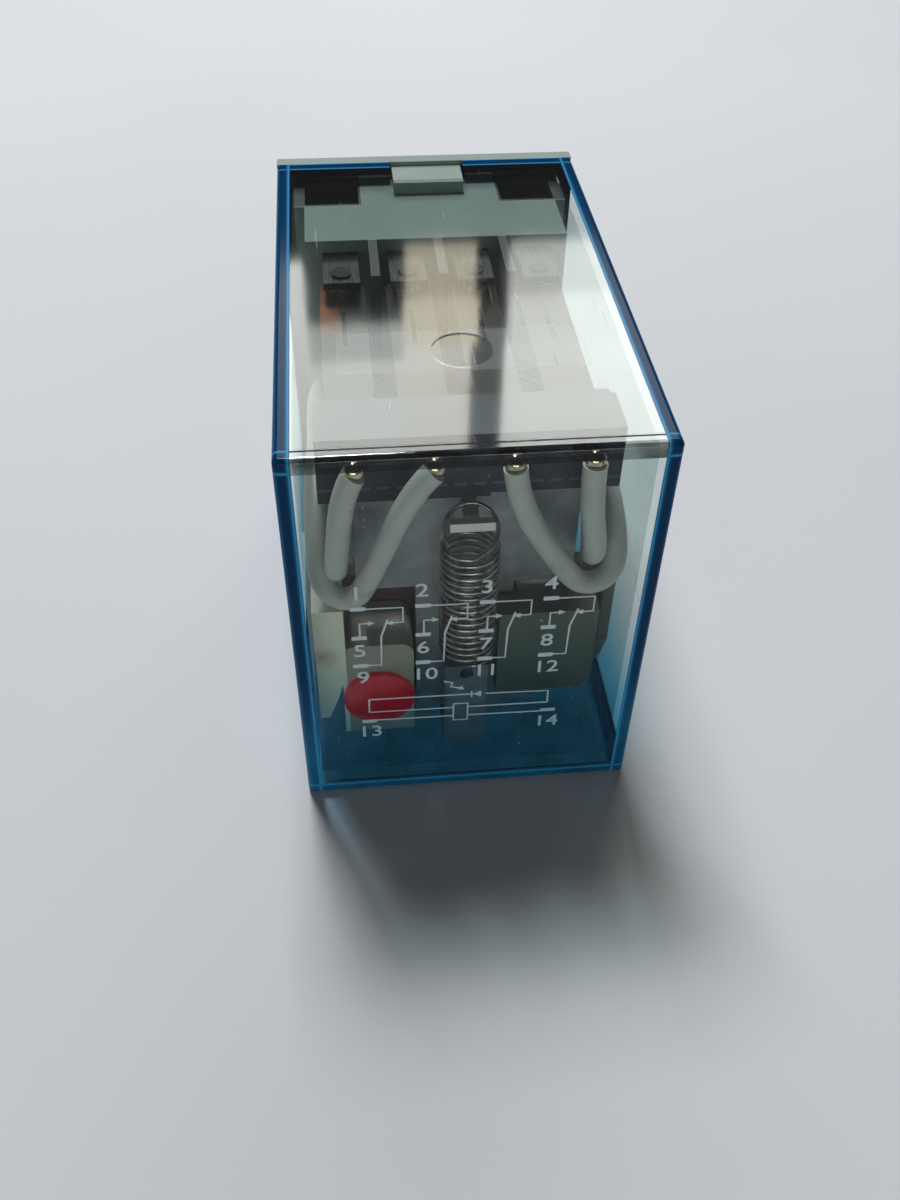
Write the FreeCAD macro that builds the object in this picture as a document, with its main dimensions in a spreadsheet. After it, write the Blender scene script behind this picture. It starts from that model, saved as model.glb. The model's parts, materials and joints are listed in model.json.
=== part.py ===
import FreeCAD, Part
import math
import os
import re

import Sketcher

# A four-pole changeover plug-in relay lying on one narrow side.
# +X is across the width, +Y runs from the clear front end to the plug blades and +Z is up.
# The origin is the middle of the outline, at floor level.  "Depth" in the code is the distance
# forward (-Y) from the seating face of the base.  All sizes are in millimetres.

SIZES = {
    # Clear case.
    "CaseWidth": 21.5,
    "CaseHeight": 28.0,
    "BodyLength": 36.0,
    "CaseWall": 1.0,
    "CaseRound": 0.35,
    "WindowWidth": 5.3,
    "WindowLength": 3.0,
    "GateRadius": 1.8,
    "GateDepth": 26.3,
    "GateRelief": 0.08,
    # Base moulding.
    "FlangeThick": 1.0,
    "BlockLength": 4.5,
    "TowerLength": 5.1,
    "TowerWidth": 17.8,
    "TowerBottom": 17.0,
    "FitPlay": 0.1,
    "LatchPlay": 0.15,
    "LatchSink": 0.3,
    "RecessWidth": 3.8,
    "RecessLength": 3.4,
    "RecessSink": 1.1,
    "RecessOffset": 6.95,
    "RecessMargin": 0.3,
    "BarrierThick": 0.6,
    "BarrierLength": 4.9,
    "BarrierBottom": 21.5,
    # Plug blades.
    "BladeThick": 0.5,
    "BladeWidth": 2.6,
    "BladeLength": 6.4,
    "BladeTip": 0.5,
    "HoleLength": 2.2,
    "HoleWidth": 1.2,
    "HoleFromTip": 2.6,
    "ColumnPitch": 4.4,
    "RowClosed": 24.1,
    "RowOpen": 20.0,
    "RowCommon": 13.6,
    "RowCoil": 8.25,
    "SlotPlay": 0.02,
    "TagHeight": 1.0,
    "TagReach": 8.0,
    "PostHeight": 1.3,
    "PostReach": 6.6,
    # Fixed contact arms.
    "ArmThick": 0.5,
    "ArmWidth": 2.4,
    "ArmReach": 14.7,
    "UprightStart": 7.0,
    "UprightLength": 2.0,
    "NeckLength": 1.0,
    # Contacts.
    "ShankRadius": 0.45,
    "HeadRadius": 0.85,
    "HeadHeight": 0.4,
    "StakeHeight": 0.15,
    "StakeSpread": 0.68,
    "ContactDepth": 13.5,
    "OpenContactShift": 0.45,
    "ContactClear": 0.03,
    "ContactGap": 0.78,
    # Moving springs.
    "SpringLevel": 24.6,
    "SpringThick": 0.2,
    "SpringWidth": 3.0,
    "SpringEnd": 12.3,
    "SpringCorner": 0.6,
    "SlitWidth": 0.3,
    "SlitLength": 4.0,
    "SlitFromEnd": 2.6,
    "TailWidth": 1.6,
    "TailReach": 33.6,
    "TailRise": 0.7,
    # Movable block.
    "CarrierWidth": 17.4,
    "CarrierRear": 27.0,
    "CarrierFront": 32.0,
    "CarrierBottom": 21.8,
    "CarrierTop": 26.2,
    "CarrierStep": 1.6,
    "CarrierNotch": 0.25,
    "CarrierNotchStart": 1.2,
    # Yoke and armature.
    "YokeBase": 1.3,
    "YokeThick": 1.4,
    "YokeWidth": 11.2,
    "YokeTop": 12.0,
    "HingeDepth": 30.0,
    "HingePlay": 0.1,
    "TongueWidth": 2.8,
    "TongueThick": 0.8,
    "TongueDepth": 33.0,
    "TongueTop": 8.9,
    "TongueHoleHeight": 8.2,
    "TongueHoleRadius": 0.45,
    "ArmatureThick": 1.0,
    "ArmatureSeat": 0.03,
    "ArmatureBottom": 1.4,
    "ArmatureTop": 23.6,
    "ArmatureWidth": 13.6,
    "NeckWidth": 6.2,
    "ShoulderHeight": 14.0,
    "NotchPlay": 0.4,
    "TabHeight": 21.0,
    "TabThick": 0.6,
    "TabNeck": 0.9,
    "TabHead": 2.6,
    "TabHeadStart": 33.3,
    "TabReach": 33.8,
    # Return spring.
    "CoilMeanRadius": 1.6,
    "CoilWire": 0.28,
    "CoilLow": 10.4,
    "CoilHigh": 19.4,
    "CoilTurns": 17.25,
    "TopLoopHalf": 1.5,
    "LowLoopHalf": 0.95,
    "LoopRise": 0.65,
    "LoopPlay": 0.21,
    "LowLoopHeight": 8.4,
    # Coil.
    "CoreRadius": 3.0,
    "CorePlay": 0.1,
    "PoleGap": 0.42,
    "StemRadius": 2.2,
    "StakeRadius": 2.9,
    "StakeDepth": 0.8,
    "RingRadius": 2.6,
    "RingThick": 0.6,
    "RingDepth": 0.8,
    "RingPlay": 0.02,
    "BobbinRear": 7.2,
    "CheekThick": 1.0,
    "BobbinFront": 29.2,
    "BarrelWidth": 7.8,
    "BarrelHeight": 7.4,
    "CheekWidth": 15.4,
    "CheekLow": 2.9,
    "CheekHigh": 13.6,
    "WingThick": 0.7,
    "WingInner": 8.9,
    "WingTop": 14.6,
    "WingArm": 10.0,
    "WingRear": 26.0,
    "WingFront": 31.4,
    "WingKnee": 8.5,
    "WingTip": 5.0,
    "WingHeel": 7.2,
    "WingToe": 1.5,
    "HolderInner": 3.4,
    "HolderOuter": 8.0,
    "HolderTop": 11.2,
    "HolderLow": 3.0,
    "HolderFront": 33.3,
    "HolderRound": 0.9,
    "PadTop": 13.2,
    "PadLow": 6.0,
    "PadRear": 31.4,
    "PadFront": 33.2,
    "PadInner": 2.0,
    "PadOuter": 8.3,
    "PadRound": 1.2,
    "GuideOuter": 9.6,
    "GuideInner": 7.7,
    "GuideSlope": 9.2,
    "GuideKnee": 6.8,
    "GuideShin": 8.3,
    "GuideFoot": 9.0,
    "GuideLow": 4.8,
    "GuideRear": 30.6,
    "GuideFront": 33.5,
    "WindingWidth": 14.8,
    "WindingHeight": 9.8,
    "WindingRound": 2.4,
    "TapeThick": 0.1,
    "TapeInset": 0.4,
    "RivetRadius": 0.8,
    "RivetOffset": 4.2,
    "RivetHeight": 3.6,
    "RivetStart": 2.6,
    # Indicator circuit.
    "LampRadius": 2.3,
    "LampOffset": 5.7,
    "LampHeight": 6.5,
    "LampLength": 0.35,
    "LampRise": 0.5,
    "LampFace": 5.5,
    "LampLeadPitch": 2.54,
    "LeadWire": 0.4,
    "LeadGroove": 1.5,
    "LeadLane": 8.6,
    "LeadLaneDepth": 30.05,
    "ResistorRadius": 0.85,
    "ResistorRear": 14.0,
    "ResistorFront": 20.0,
    "DiodeRadius": 0.75,
    "DiodeRear": 13.5,
    "DiodeFront": 17.5,
    "PigtailLength": 1.0,
    "CoilLead": 0.24,
    "CoilLeadRise": 0.45,
    "PostWireInset": 0.3,
    "CrossWireRise": 0.9,
    # Flexible leads and their solder.
    "SleeveOuter": 1.4,
    "SleeveBore": 0.7,
    "Conductor": 0.6,
    "BareTop": 0.9,
    "BareEnd": 0.9,
    "TailSolder": 0.62,
    "TagSolder": 0.65,
}

# Columns are numbered as seen from the plug side, so column 1 is at +X.
COLUMN_STEPS = (1.5, 0.5, -0.5, -1.5)
SEAT = "(BodyLength - BladeLength) / 2"
BASE_FRONT = "FlangeThick + BlockLength"
TOWER_FRONT = f"{BASE_FRONT} + TowerLength"
BLADE_TOP = "BladeWidth / 2"
ARMATURE_REAR = "HingeDepth + ArmatureSeat"
ARMATURE_FRONT = f"{ARMATURE_REAR} + ArmatureThick"
CLOSED_ARM_LOW = "SpringLevel + SpringThick / 2 + 2 * HeadHeight + ContactClear"
OPEN_ARM_TOP = "SpringLevel - SpringThick / 2 - 2 * HeadHeight - ContactGap"
CORE_FRONT = f"{ARMATURE_REAR} - PoleGap"
WINDING_REAR = "BobbinRear + CheekThick"
WINDING_FRONT = "BobbinFront - CheekThick"

# Route of each flexible lead from its spring tail to its common tag: across, depth, height.
LEAD_ROUTES = {
    1: (
        (6.6, 33.95, 25.3),
        (6.6, 34.0, 22.8),
        (7.3, 33.9, 18.9),
        (7.45, 32.5, 17.2),
        (8.0, 30.4, 16.8),
        (8.5, 26.8, 17.0),
        (8.8, 21.5, 17.3),
        (8.85, 15.2, 17.0),
        (8.5, 11.2, 15.9),
        (6.7, 9.8, 15.6),
        (6.6, 7.3, 15.25),
    ),
    2: (
        (2.2, 33.95, 25.3),
        (2.5, 34.0, 22.7),
        (4.9, 34.05, 18.6),
        (6.7, 33.9, 15.9),
        (8.9, 33.3, 16.4),
        (8.98, 31.4, 19.0),
        (8.9, 26.6, 20.0),
        (8.5, 21.6, 19.7),
        (7.0, 17.6, 18.7),
        (5.0, 14.4, 16.9),
        (3.1, 11.9, 15.7),
        (2.2, 9.7, 15.6),
        (2.2, 7.3, 15.25),
    ),
    3: (
        (-2.2, 33.95, 25.3),
        (-2.7, 34.0, 22.7),
        (-5.2, 34.05, 18.3),
        (-7.0, 33.9, 15.6),
        (-8.95, 33.2, 16.3),
        (-8.98, 31.3, 18.9),
        (-8.9, 26.6, 20.1),
        (-8.5, 21.5, 19.8),
        (-6.9, 17.7, 18.8),
        (-5.1, 14.3, 16.9),
        (-3.0, 11.9, 15.7),
        (-2.2, 9.7, 15.6),
        (-2.2, 7.3, 15.25),
    ),
    4: (
        (-6.6, 33.95, 25.3),
        (-6.7, 34.0, 22.6),
        (-7.35, 33.9, 18.7),
        (-7.5, 32.5, 17.1),
        (-8.0, 30.4, 16.8),
        (-8.5, 26.8, 17.0),
        (-8.8, 21.5, 17.3),
        (-8.85, 15.2, 17.0),
        (-8.5, 11.2, 15.9),
        (-6.7, 9.8, 15.6),
        (-6.6, 7.3, 15.25),
    ),
}

# A coil wire's points, out from the winding's skin, ahead of the rear cheek and above the post.
COIL_LEAD_STEPS = ((0, 2.6, 0.4), (0.25, 1.2, 0.3), (0.25, -0.2, 0.1))

# How far a wire or a pin reaches into the piece that it is joined to.
JOIN = 0.1

DOC = FreeCAD.newDocument("PlugInRelay")
SUBPARTS = []


# ---------------------------------------------------------------- sheet and binding

def write_sheet():
    """Puts every driving size in the sheet, one aliased cell each."""
    sheet = DOC.addObject("Spreadsheet::Sheet", "Sizes")
    for row, (alias, size) in enumerate(SIZES.items(), start=1):
        sheet.set(f"A{row}", alias)
        sheet.set(f"B{row}", str(size))
        sheet.setAlias(f"B{row}", alias)
    DOC.recompute()


def linked(text):
    """Turns an expression of plain size names into one that reads the sheet."""
    return re.sub(r"\b[A-Z]\w*", lambda name: f"Sizes.{name.group(0)}", str(text))


def value(text):
    """The present value of an expression of size names."""
    return float(DOC.Sizes.evalExpression(linked(text)))


def bind(thing, prop, text):
    """Ties one property to the sheet."""
    thing.setExpression(prop, linked(text))


def finish(thing, label):
    """Names a sub-part and lists it for export."""
    thing.Label = label
    SUBPARTS.append(thing)
    return thing


def column(index):
    """Centre of a blade column, counted from 0."""
    return f"{COLUMN_STEPS[index]} * ColumnPitch"


# ---------------------------------------------------------------- Part primitives

def slab(name, across, depth, height):
    """A box between two values on each axis."""
    box = DOC.addObject("Part::Box", name)
    bind(box, "Length", f"({across[1]}) - ({across[0]})")
    bind(box, "Width", f"({depth[1]}) - ({depth[0]})")
    bind(box, "Height", f"({height[1]}) - ({height[0]})")
    bind(box, "Placement.Base.x", across[0])
    bind(box, "Placement.Base.y", f"{SEAT} - ({depth[1]})")
    bind(box, "Placement.Base.z", height[0])
    return box


def rod(name, radius, across, depth, height):
    """A cylinder along the depth, from the first depth forward to the second."""
    cylinder = DOC.addObject("Part::Cylinder", name)
    bind(cylinder, "Radius", radius)
    bind(cylinder, "Height", f"({depth[1]}) - ({depth[0]})")
    cylinder.Placement.Rotation = FreeCAD.Rotation(FreeCAD.Vector(1, 0, 0), 90)
    bind(cylinder, "Placement.Base.x", across)
    bind(cylinder, "Placement.Base.y", f"{SEAT} - ({depth[0]})")
    bind(cylinder, "Placement.Base.z", height)
    return cylinder


def post(name, radius, across, depth, height):
    """An upright cylinder between two heights."""
    cylinder = DOC.addObject("Part::Cylinder", name)
    bind(cylinder, "Radius", radius)
    bind(cylinder, "Height", f"({height[1]}) - ({height[0]})")
    bind(cylinder, "Placement.Base.x", across)
    bind(cylinder, "Placement.Base.y", f"{SEAT} - ({depth})")
    bind(cylinder, "Placement.Base.z", height[0])
    return cylinder


def ball(name, radius, across, depth, height):
    """A sphere at one place."""
    sphere = DOC.addObject("Part::Sphere", name)
    bind(sphere, "Radius", radius)
    bind(sphere, "Placement.Base.x", across)
    bind(sphere, "Placement.Base.y", f"{SEAT} - ({depth})")
    bind(sphere, "Placement.Base.z", height)
    return sphere


def fused(name, pieces):
    """One solid from several."""
    union = DOC.addObject("Part::MultiFuse", name)
    union.Shapes = pieces
    return union


def grouped(name, pieces):
    """Separate solids kept together."""
    group = DOC.addObject("Part::Compound", name)
    group.Links = pieces
    return group


def cut(name, base, tools):
    """A solid with other shapes taken out of it."""
    tool = tools[0]
    if len(tools) > 1:
        tool = fused(f"{name}_tools", tools)
    result = DOC.addObject("Part::Cut", name)
    result.Base = base
    result.Tool = tool
    return result


# ---------------------------------------------------------------- PartDesign bodies

def new_body(name):
    """A body whose own Y = 0 is the seating face."""
    body = DOC.addObject("PartDesign::Body", name)
    bind(body, "Placement.Base.y", SEAT)
    return body


def sketch_on(body, name, role, start):
    """A sketch on one of the body's origin planes, moved along its normal."""
    plane = next(item for item in body.Origin.OriginFeatures if item.Role == role)
    sketch = body.newObject("Sketcher::SketchObject", name)
    sketch.AttachmentSupport = [(plane, "")]
    sketch.MapMode = "FlatFace"
    bind(sketch, "AttachmentOffset.Base.z", start)
    return sketch


def sketch_axes(role, pair):
    """Sketch coordinates of a point given as (across, height), (across, depth) or (depth, height)."""
    first, second = pair
    if role == "XY_Plane":
        return first, f"-({second})"
    if role == "YZ_Plane":
        return f"-({first})", second
    return first, second


def pin_point(sketch, geometry, corner, place, tag):
    """Holds one point of a sketch at two bound distances from the origin."""
    for kind, letter, text in zip(("DistanceX", "DistanceY"), "uv", place):
        constraint = Sketcher.Constraint(kind, -1, 1, geometry, corner, value(text))
        index = sketch.addConstraint(constraint)
        sketch.renameConstraint(index, f"{letter}{tag}")
        bind(sketch, f"Constraints.{letter}{tag}", text)


def draw_outline(sketch, role, points):
    """Draws a closed outline of straight lines through bound corners."""
    places = [sketch_axes(role, pair) for pair in points]
    spots = [FreeCAD.Vector(value(u), value(v), 0) for u, v in places]
    first = sketch.GeometryCount
    for index, spot in enumerate(spots):
        after = spots[(index + 1) % len(spots)]
        sketch.addGeometry(Part.LineSegment(spot, after), False)
    for index in range(len(spots)):
        following = first + (index + 1) % len(spots)
        sketch.addConstraint(Sketcher.Constraint("Coincident", first + index, 2, following, 1))
    for index, place in enumerate(places):
        pin_point(sketch, first + index, 1, place, f"{first}_{index}")


def draw_circle(sketch, role, centre, radius):
    """Draws one circle with a bound centre and radius."""
    u, v = sketch_axes(role, centre)
    middle = FreeCAD.Vector(value(u), value(v), 0)
    circle = Part.Circle(middle, FreeCAD.Vector(0, 0, 1), value(radius))
    index = sketch.addGeometry(circle, False)
    pin_point(sketch, index, 3, (u, v), f"c{index}")
    size = sketch.addConstraint(Sketcher.Constraint("Radius", index, value(radius)))
    sketch.renameConstraint(size, f"r{index}")
    bind(sketch, f"Constraints.r{index}", radius)


def draw_slot(sketch, role, centre, length, width):
    """Draws a round-ended slot that runs along the sketch's first axis."""
    u, v = sketch_axes(role, centre)
    half = f"(({length}) - ({width})) / 2"
    radius = value(f"({width}) / 2")
    ends = (f"({u}) + {half}", f"({u}) - {half}")
    arcs = []
    for side, end in enumerate(ends):
        middle = FreeCAD.Vector(value(end), value(v), 0)
        turn = Part.Circle(middle, FreeCAD.Vector(0, 0, 1), radius)
        low = -math.pi / 2 + side * math.pi
        arcs.append(sketch.addGeometry(Part.ArcOfCircle(turn, low, low + math.pi), False))
    for side in range(2):
        near = sketch.getPoint(arcs[side], 2)
        far = sketch.getPoint(arcs[1 - side], 1)
        line = sketch.addGeometry(Part.LineSegment(near, far), False)
        sketch.addConstraint(Sketcher.Constraint("Tangent", arcs[side], 2, line, 1))
        sketch.addConstraint(Sketcher.Constraint("Tangent", line, 2, arcs[1 - side], 1))
    for side, end in enumerate(ends):
        pin_point(sketch, arcs[side], 3, (end, v), f"s{side}")
    size = sketch.addConstraint(Sketcher.Constraint("Radius", arcs[0], radius))
    sketch.renameConstraint(size, "round")
    bind(sketch, "Constraints.round", f"({width}) / 2")


def add_pad(body, name, role, draw, start, length):
    """Pads a sketch from start along its plane's normal; draw(sketch, role) fills the sketch."""
    sketch = sketch_on(body, f"{name}_sketch", role, start)
    draw(sketch, role)
    pad = body.newObject("PartDesign::Pad", name)
    pad.Profile = sketch
    bind(pad, "Length", length)
    return pad


def add_pocket(body, name, role, draw, start, length):
    """Cuts a sketch out of the body from start along its plane's normal."""
    DOC.recompute()
    before = body.Shape.Volume
    sketch = sketch_on(body, f"{name}_sketch", role, start)
    draw(sketch, role)
    pocket = body.newObject("PartDesign::Pocket", name)
    pocket.Profile = sketch
    pocket.Reversed = True
    bind(pocket, "Length", length)
    DOC.recompute()
    if not body.Shape.Volume < before - 1e-6:
        raise ValueError(f"{name} cuts nothing")
    return pocket


def outline(*points):
    """A drawing of one closed outline."""
    return lambda sketch, role: draw_outline(sketch, role, points)


def rectangle(first, second):
    """A drawing of one upright rectangle between two values on each axis."""
    corners = ((0, 0), (1, 0), (1, 1), (0, 1))
    return outline(*[(first[i], second[j]) for i, j in corners])


def circle(centre, radius):
    """A drawing of one circle."""
    return lambda sketch, role: draw_circle(sketch, role, centre, radius)


def slot(centre, length, width):
    """A drawing of one round-ended slot."""
    return lambda sketch, role: draw_slot(sketch, role, centre, length, width)


def round_edges(body, name, radius, keep):
    """Rounds the edges of the body's tip that keep(edge) accepts."""
    DOC.recompute()
    tip = body.Tip
    edges = enumerate(tip.Shape.Edges, start=1)
    chosen = [f"Edge{index}" for index, edge in edges if keep(edge)]
    fillet = body.newObject("PartDesign::Fillet", name)
    fillet.Base = (tip, chosen)
    bind(fillet, "Radius", radius)


def runs_along_depth(edge):
    """Whether an edge is straight and lies along the depth."""
    box = edge.BoundBox
    return box.YLength > 1e-3 > max(box.XLength, box.ZLength)


# ---------------------------------------------------------------- wires

def path_edges(points, bare_start=0.0, bare_end=0.0):
    """Straight runs through points (across, depth, height), joined by tangent arcs.

    Each arc's radius is 0.45 of its shorter run over the tangent of half the turn.
    bare_start and bare_end shorten the first and the last straight run.
    """
    spots = [FreeCAD.Vector(x, -depth, z) for x, depth, z in points]
    edges = []
    start = spots[0]
    for before, corner, after in zip(spots, spots[1:], spots[2:]):
        arrive = (corner - before).normalize()
        leave = (after - corner).normalize()
        half = arrive.getAngle(leave) / 2
        reach = 0.45 * min(before.distanceToPoint(corner), corner.distanceToPoint(after))
        inward = (leave - arrive).normalize()
        radius = reach / math.tan(half)
        middle = corner + inward * (radius / math.cos(half) - radius)
        enter = corner - arrive * reach
        exit_spot = corner + leave * reach
        edges.append(Part.LineSegment(start, enter))
        edges.append(Part.Arc(enter, middle, exit_spot))
        start = exit_spot
    edges.append(Part.LineSegment(start, spots[-1]))
    first = edges[0]
    last = edges[-1]
    toward = (first.EndPoint - first.StartPoint).normalize()
    edges[0] = Part.LineSegment(first.StartPoint + toward * bare_start, first.EndPoint)
    toward = (last.EndPoint - last.StartPoint).normalize()
    edges[-1] = Part.LineSegment(last.StartPoint, last.EndPoint - toward * bare_end)
    return edges


def wire_solid(edges, diameter):
    """A round wire swept along edges, checked against its section times its length."""
    path = Part.Wire([edge.toShape() for edge in edges])
    start = edges[0].StartPoint
    along = (edges[0].EndPoint - start).normalize()
    ring = Part.Wire([Part.makeCircle(diameter / 2, start, along)])
    solid = path.makePipeShell([ring], True, False)
    expected = math.pi * diameter * diameter / 4 * path.Length
    if abs(solid.Volume - expected) > 0.02 * expected:
        raise ValueError("a wire's volume is not its section times its length")
    return solid


def placed_feature(name, shape):
    """A feature that holds a ready shape, placed with its own Y = 0 at the seating face."""
    feature = DOC.addObject("Part::Feature", name)
    feature.Shape = shape
    feature.Placement.Base.y = value(SEAT)
    return feature


# ---------------------------------------------------------------- case and base

def clear_case():
    """The clear cover, open towards the base, with a latch window in each wide wall."""
    body = new_body("Case")
    half = "CaseWidth / 2"
    inside = f"{half} - CaseWall"
    outer = rectangle((f"-{half}", half), ("0", "CaseHeight"))
    add_pad(body, "Shell", "XZ_Plane", outer, "FlangeThick", "BodyLength - FlangeThick")
    back = -value("FlangeThick")
    round_edges(body, "Edges", "CaseRound", lambda edge: edge.BoundBox.YMin < back - 1e-3)
    hollow = rectangle((f"-({inside})", inside), ("CaseWall", "CaseHeight - CaseWall"))
    add_pocket(body, "Hollow", "XZ_Plane", hollow, "0", "BodyLength - CaseWall")
    window_depth = ("0", "FlangeThick + WindowLength")
    window = rectangle(("-WindowWidth / 2", "WindowWidth / 2"), window_depth)
    add_pocket(body, "Windows", "XY_Plane", window, "0", "CaseHeight")
    gate = circle(("0", "GateDepth"), "GateRadius")
    add_pocket(body, "Gate", "XY_Plane", gate, "CaseHeight - GateRelief", "GateRelief")
    finish(body, "clear_case")


def base_solids():
    """Flange, block, contact tower, barriers and latch bosses of the base."""
    half = "CaseWidth / 2"
    inner = f"{half} - CaseWall - FitPlay"
    low = "CaseWall + FitPlay"
    high = "CaseHeight - CaseWall - FitPlay"
    latch = "WindowWidth / 2 - LatchPlay"
    latch_depth = ("FlangeThick / 2", "FlangeThick + WindowLength - LatchPlay")
    pieces = [
        slab("BaseFlange", (f"-{half}", half), ("0", "FlangeThick"), ("0", "CaseHeight")),
        slab("BaseBlock", (f"-({inner})", inner), ("FlangeThick / 2", BASE_FRONT), (low, high)),
        slab("BaseTower", ("-TowerWidth / 2", "TowerWidth / 2"),
             ("FlangeThick", TOWER_FRONT), ("TowerBottom", high)),
        slab("BaseLatches", (f"-({latch})", latch), latch_depth,
             ("LatchSink", "CaseHeight - LatchSink")),
    ]
    for step in (-1, 0, 1):
        pieces.append(
            slab(f"Barrier_{step + 2}",
                 (f"{step} * ColumnPitch - BarrierThick / 2", f"{step} * ColumnPitch + BarrierThick / 2"),
                 ("FlangeThick", f"{TOWER_FRONT} + BarrierLength"), ("BarrierBottom", high)))
    return pieces


def blade_slot(name, index, depth, height):
    """The hole that a blade or its upright passes through."""
    centre = column(index)
    half = "BladeThick / 2 + SlotPlay"
    return slab(name, (f"{centre} - ({half})", f"{centre} + {half}"), depth, height)


def arm_slot(name, index, low):
    """The hole that a contact arm passes through."""
    centre = column(index)
    half = "ArmWidth / 2 + SlotPlay"
    return slab(name, (f"{centre} - ({half})", f"{centre} + {half}"),
                ("UprightStart - SlotPlay", f"{TOWER_FRONT} + 1"),
                (f"{low} - SlotPlay", f"{low} + ArmThick + SlotPlay"))


def base_holes():
    """Everything taken out of the base."""
    open_low = f"{OPEN_ARM_TOP} - ArmThick"
    upright = ("UprightStart - SlotPlay", "UprightStart + UprightLength + SlotPlay")
    holes = []
    for index in range(len(COLUMN_STEPS)):
        for row, low in (("RowClosed", CLOSED_ARM_LOW), ("RowOpen", open_low)):
            high = f"{row} + {BLADE_TOP} + SlotPlay"
            blade = (f"{row} - {BLADE_TOP} - SlotPlay", high)
            reach = ("-1", "UprightStart - NeckLength + SlotPlay")
            rise = (f"{row} - SlotPlay", f"{low} + ArmThick + SlotPlay")
            holes.append(blade_slot(f"{row}_slot_{index}", index, reach, blade))
            holes.append(blade_slot(f"{row}_neck_{index}", index, (reach[1], upright[1]),
                                    (rise[0], high)))
            holes.append(blade_slot(f"{row}_rise_{index}", index, upright, rise))
            holes.append(arm_slot(f"{row}_arm_{index}", index, low))
        common = (f"RowCommon - {BLADE_TOP} - SlotPlay", f"RowCommon + {BLADE_TOP} + SlotPlay")
        holes.append(blade_slot(f"Common_slot_{index}", index, ("-1", f"{BASE_FRONT} + 1"), common))
    for index in (0, 3):
        coil = (f"RowCoil - {BLADE_TOP} - SlotPlay", f"RowCoil + {BLADE_TOP} + SlotPlay")
        holes.append(blade_slot(f"Coil_slot_{index}", index, ("-1", f"{BASE_FRONT} + 1"), coil))
    holes.append(rod("StakeRecess", "StakeRadius + CorePlay", "0",
                     (f"{BASE_FRONT} - StakeDepth - CorePlay", f"{BASE_FRONT} + 1"), "RowCoil"))
    for side in (-1, 1):
        holes.append(rod(f"RivetHole_{side + 1}", "RivetRadius", f"{side} * RivetOffset",
                         ("RivetStart", f"{BASE_FRONT} + 1"), "RivetHeight"))
        middle = f"{side} * RecessOffset"
        recess_depth = (f"{BASE_FRONT} - RecessMargin - RecessLength", f"{BASE_FRONT} - RecessMargin")
        high = "CaseHeight - CaseWall - FitPlay"
        holes.append(slab(f"Recess_{side + 1}",
                          (f"{middle} - RecessWidth / 2", f"{middle} + RecessWidth / 2"),
                          recess_depth, (f"{high} - RecessSink", f"{high} + 1")))
    return holes


def base_block():
    """The base moulding with its blade slots."""
    moulding = fused("BaseMoulding", base_solids())
    finish(cut("Base", moulding, base_holes()), "base_block")


# ---------------------------------------------------------------- terminals

def blade_body(name, row, index, inner_points):
    """A plug blade: inner_points close its outline inside the base."""
    body = new_body(name)
    low = f"{row} - {BLADE_TOP}"
    high = f"{row} + {BLADE_TOP}"
    shape = outline(
        ("-BladeLength + BladeTip", low),
        *inner_points,
        ("-BladeLength + BladeTip", high),
        ("-BladeLength", f"{high} - BladeTip"),
        ("-BladeLength", f"{low} + BladeTip"),
    )
    side = f"{column(index)} - BladeThick / 2"
    add_pad(body, f"{name}_blade", "YZ_Plane", shape, side, "BladeThick")
    hole = slot(("-BladeLength + HoleFromTip", row), "HoleLength", "HoleWidth")
    add_pocket(body, f"{name}_hole", "YZ_Plane", hole, side, "BladeThick")
    return body


def contact_terminal(label, row, index, arm_low, contact_depth):
    """A blade with an upright inside the tower and a flat arm that carries a fixed contact."""
    low = f"{row} - {BLADE_TOP}"
    high = f"{row} + {BLADE_TOP}"
    neck = "UprightStart - NeckLength"
    end = "UprightStart + UprightLength"
    top = f"{arm_low} + ArmThick"
    inner = ((neck, low), (neck, row), (end, row), (end, top), ("UprightStart", top),
             ("UprightStart", high))
    body = blade_body(label.title().replace("_", ""), row, index, inner)
    centre = column(index)
    arm = rectangle((f"{centre} - ArmWidth / 2", f"{centre} + ArmWidth / 2"),
                    ("UprightStart", "ArmReach"))
    add_pad(body, f"{body.Name}_arm", "XY_Plane", arm, arm_low, "ArmThick")
    shank = circle((centre, contact_depth), "ShankRadius")
    add_pocket(body, f"{body.Name}_shank", "XY_Plane", shank, arm_low, "ArmThick")
    finish(body, label)


def common_terminal(label, index):
    """A blade with a narrow solder tag inside."""
    low = f"RowCommon - {BLADE_TOP}"
    high = f"RowCommon + {BLADE_TOP}"
    inner = ((BASE_FRONT, low), (BASE_FRONT, f"{high} - TagHeight"),
             ("TagReach", f"{high} - TagHeight"), ("TagReach", high))
    finish(blade_body(label.title().replace("_", ""), "RowCommon", index, inner), label)


def coil_terminal(label, index):
    """A blade with a short post for the coil's wire."""
    inner = ((BASE_FRONT, f"RowCoil - {BLADE_TOP}"), (BASE_FRONT, "RowCoil - PostHeight / 2"),
             ("PostReach", "RowCoil - PostHeight / 2"), ("PostReach", "RowCoil + PostHeight / 2"),
             (BASE_FRONT, "RowCoil + PostHeight / 2"), (BASE_FRONT, f"RowCoil + {BLADE_TOP}"))
    finish(blade_body(label.title().replace("_", ""), "RowCoil", index, inner), label)


def terminals():
    """All fourteen blades, numbered row by row."""
    for index in range(len(COLUMN_STEPS)):
        contact_terminal(f"nc_terminal_{index + 1}", "RowClosed", index, CLOSED_ARM_LOW,
                         "ContactDepth")
        contact_terminal(f"no_terminal_{index + 5}", "RowOpen", index,
                         f"{OPEN_ARM_TOP} - ArmThick", "ContactDepth - OpenContactShift")
        common_terminal(f"com_terminal_{index + 9}", index)
    coil_terminal("coil_terminal_13", 0)
    coil_terminal("coil_terminal_14", 3)


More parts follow.
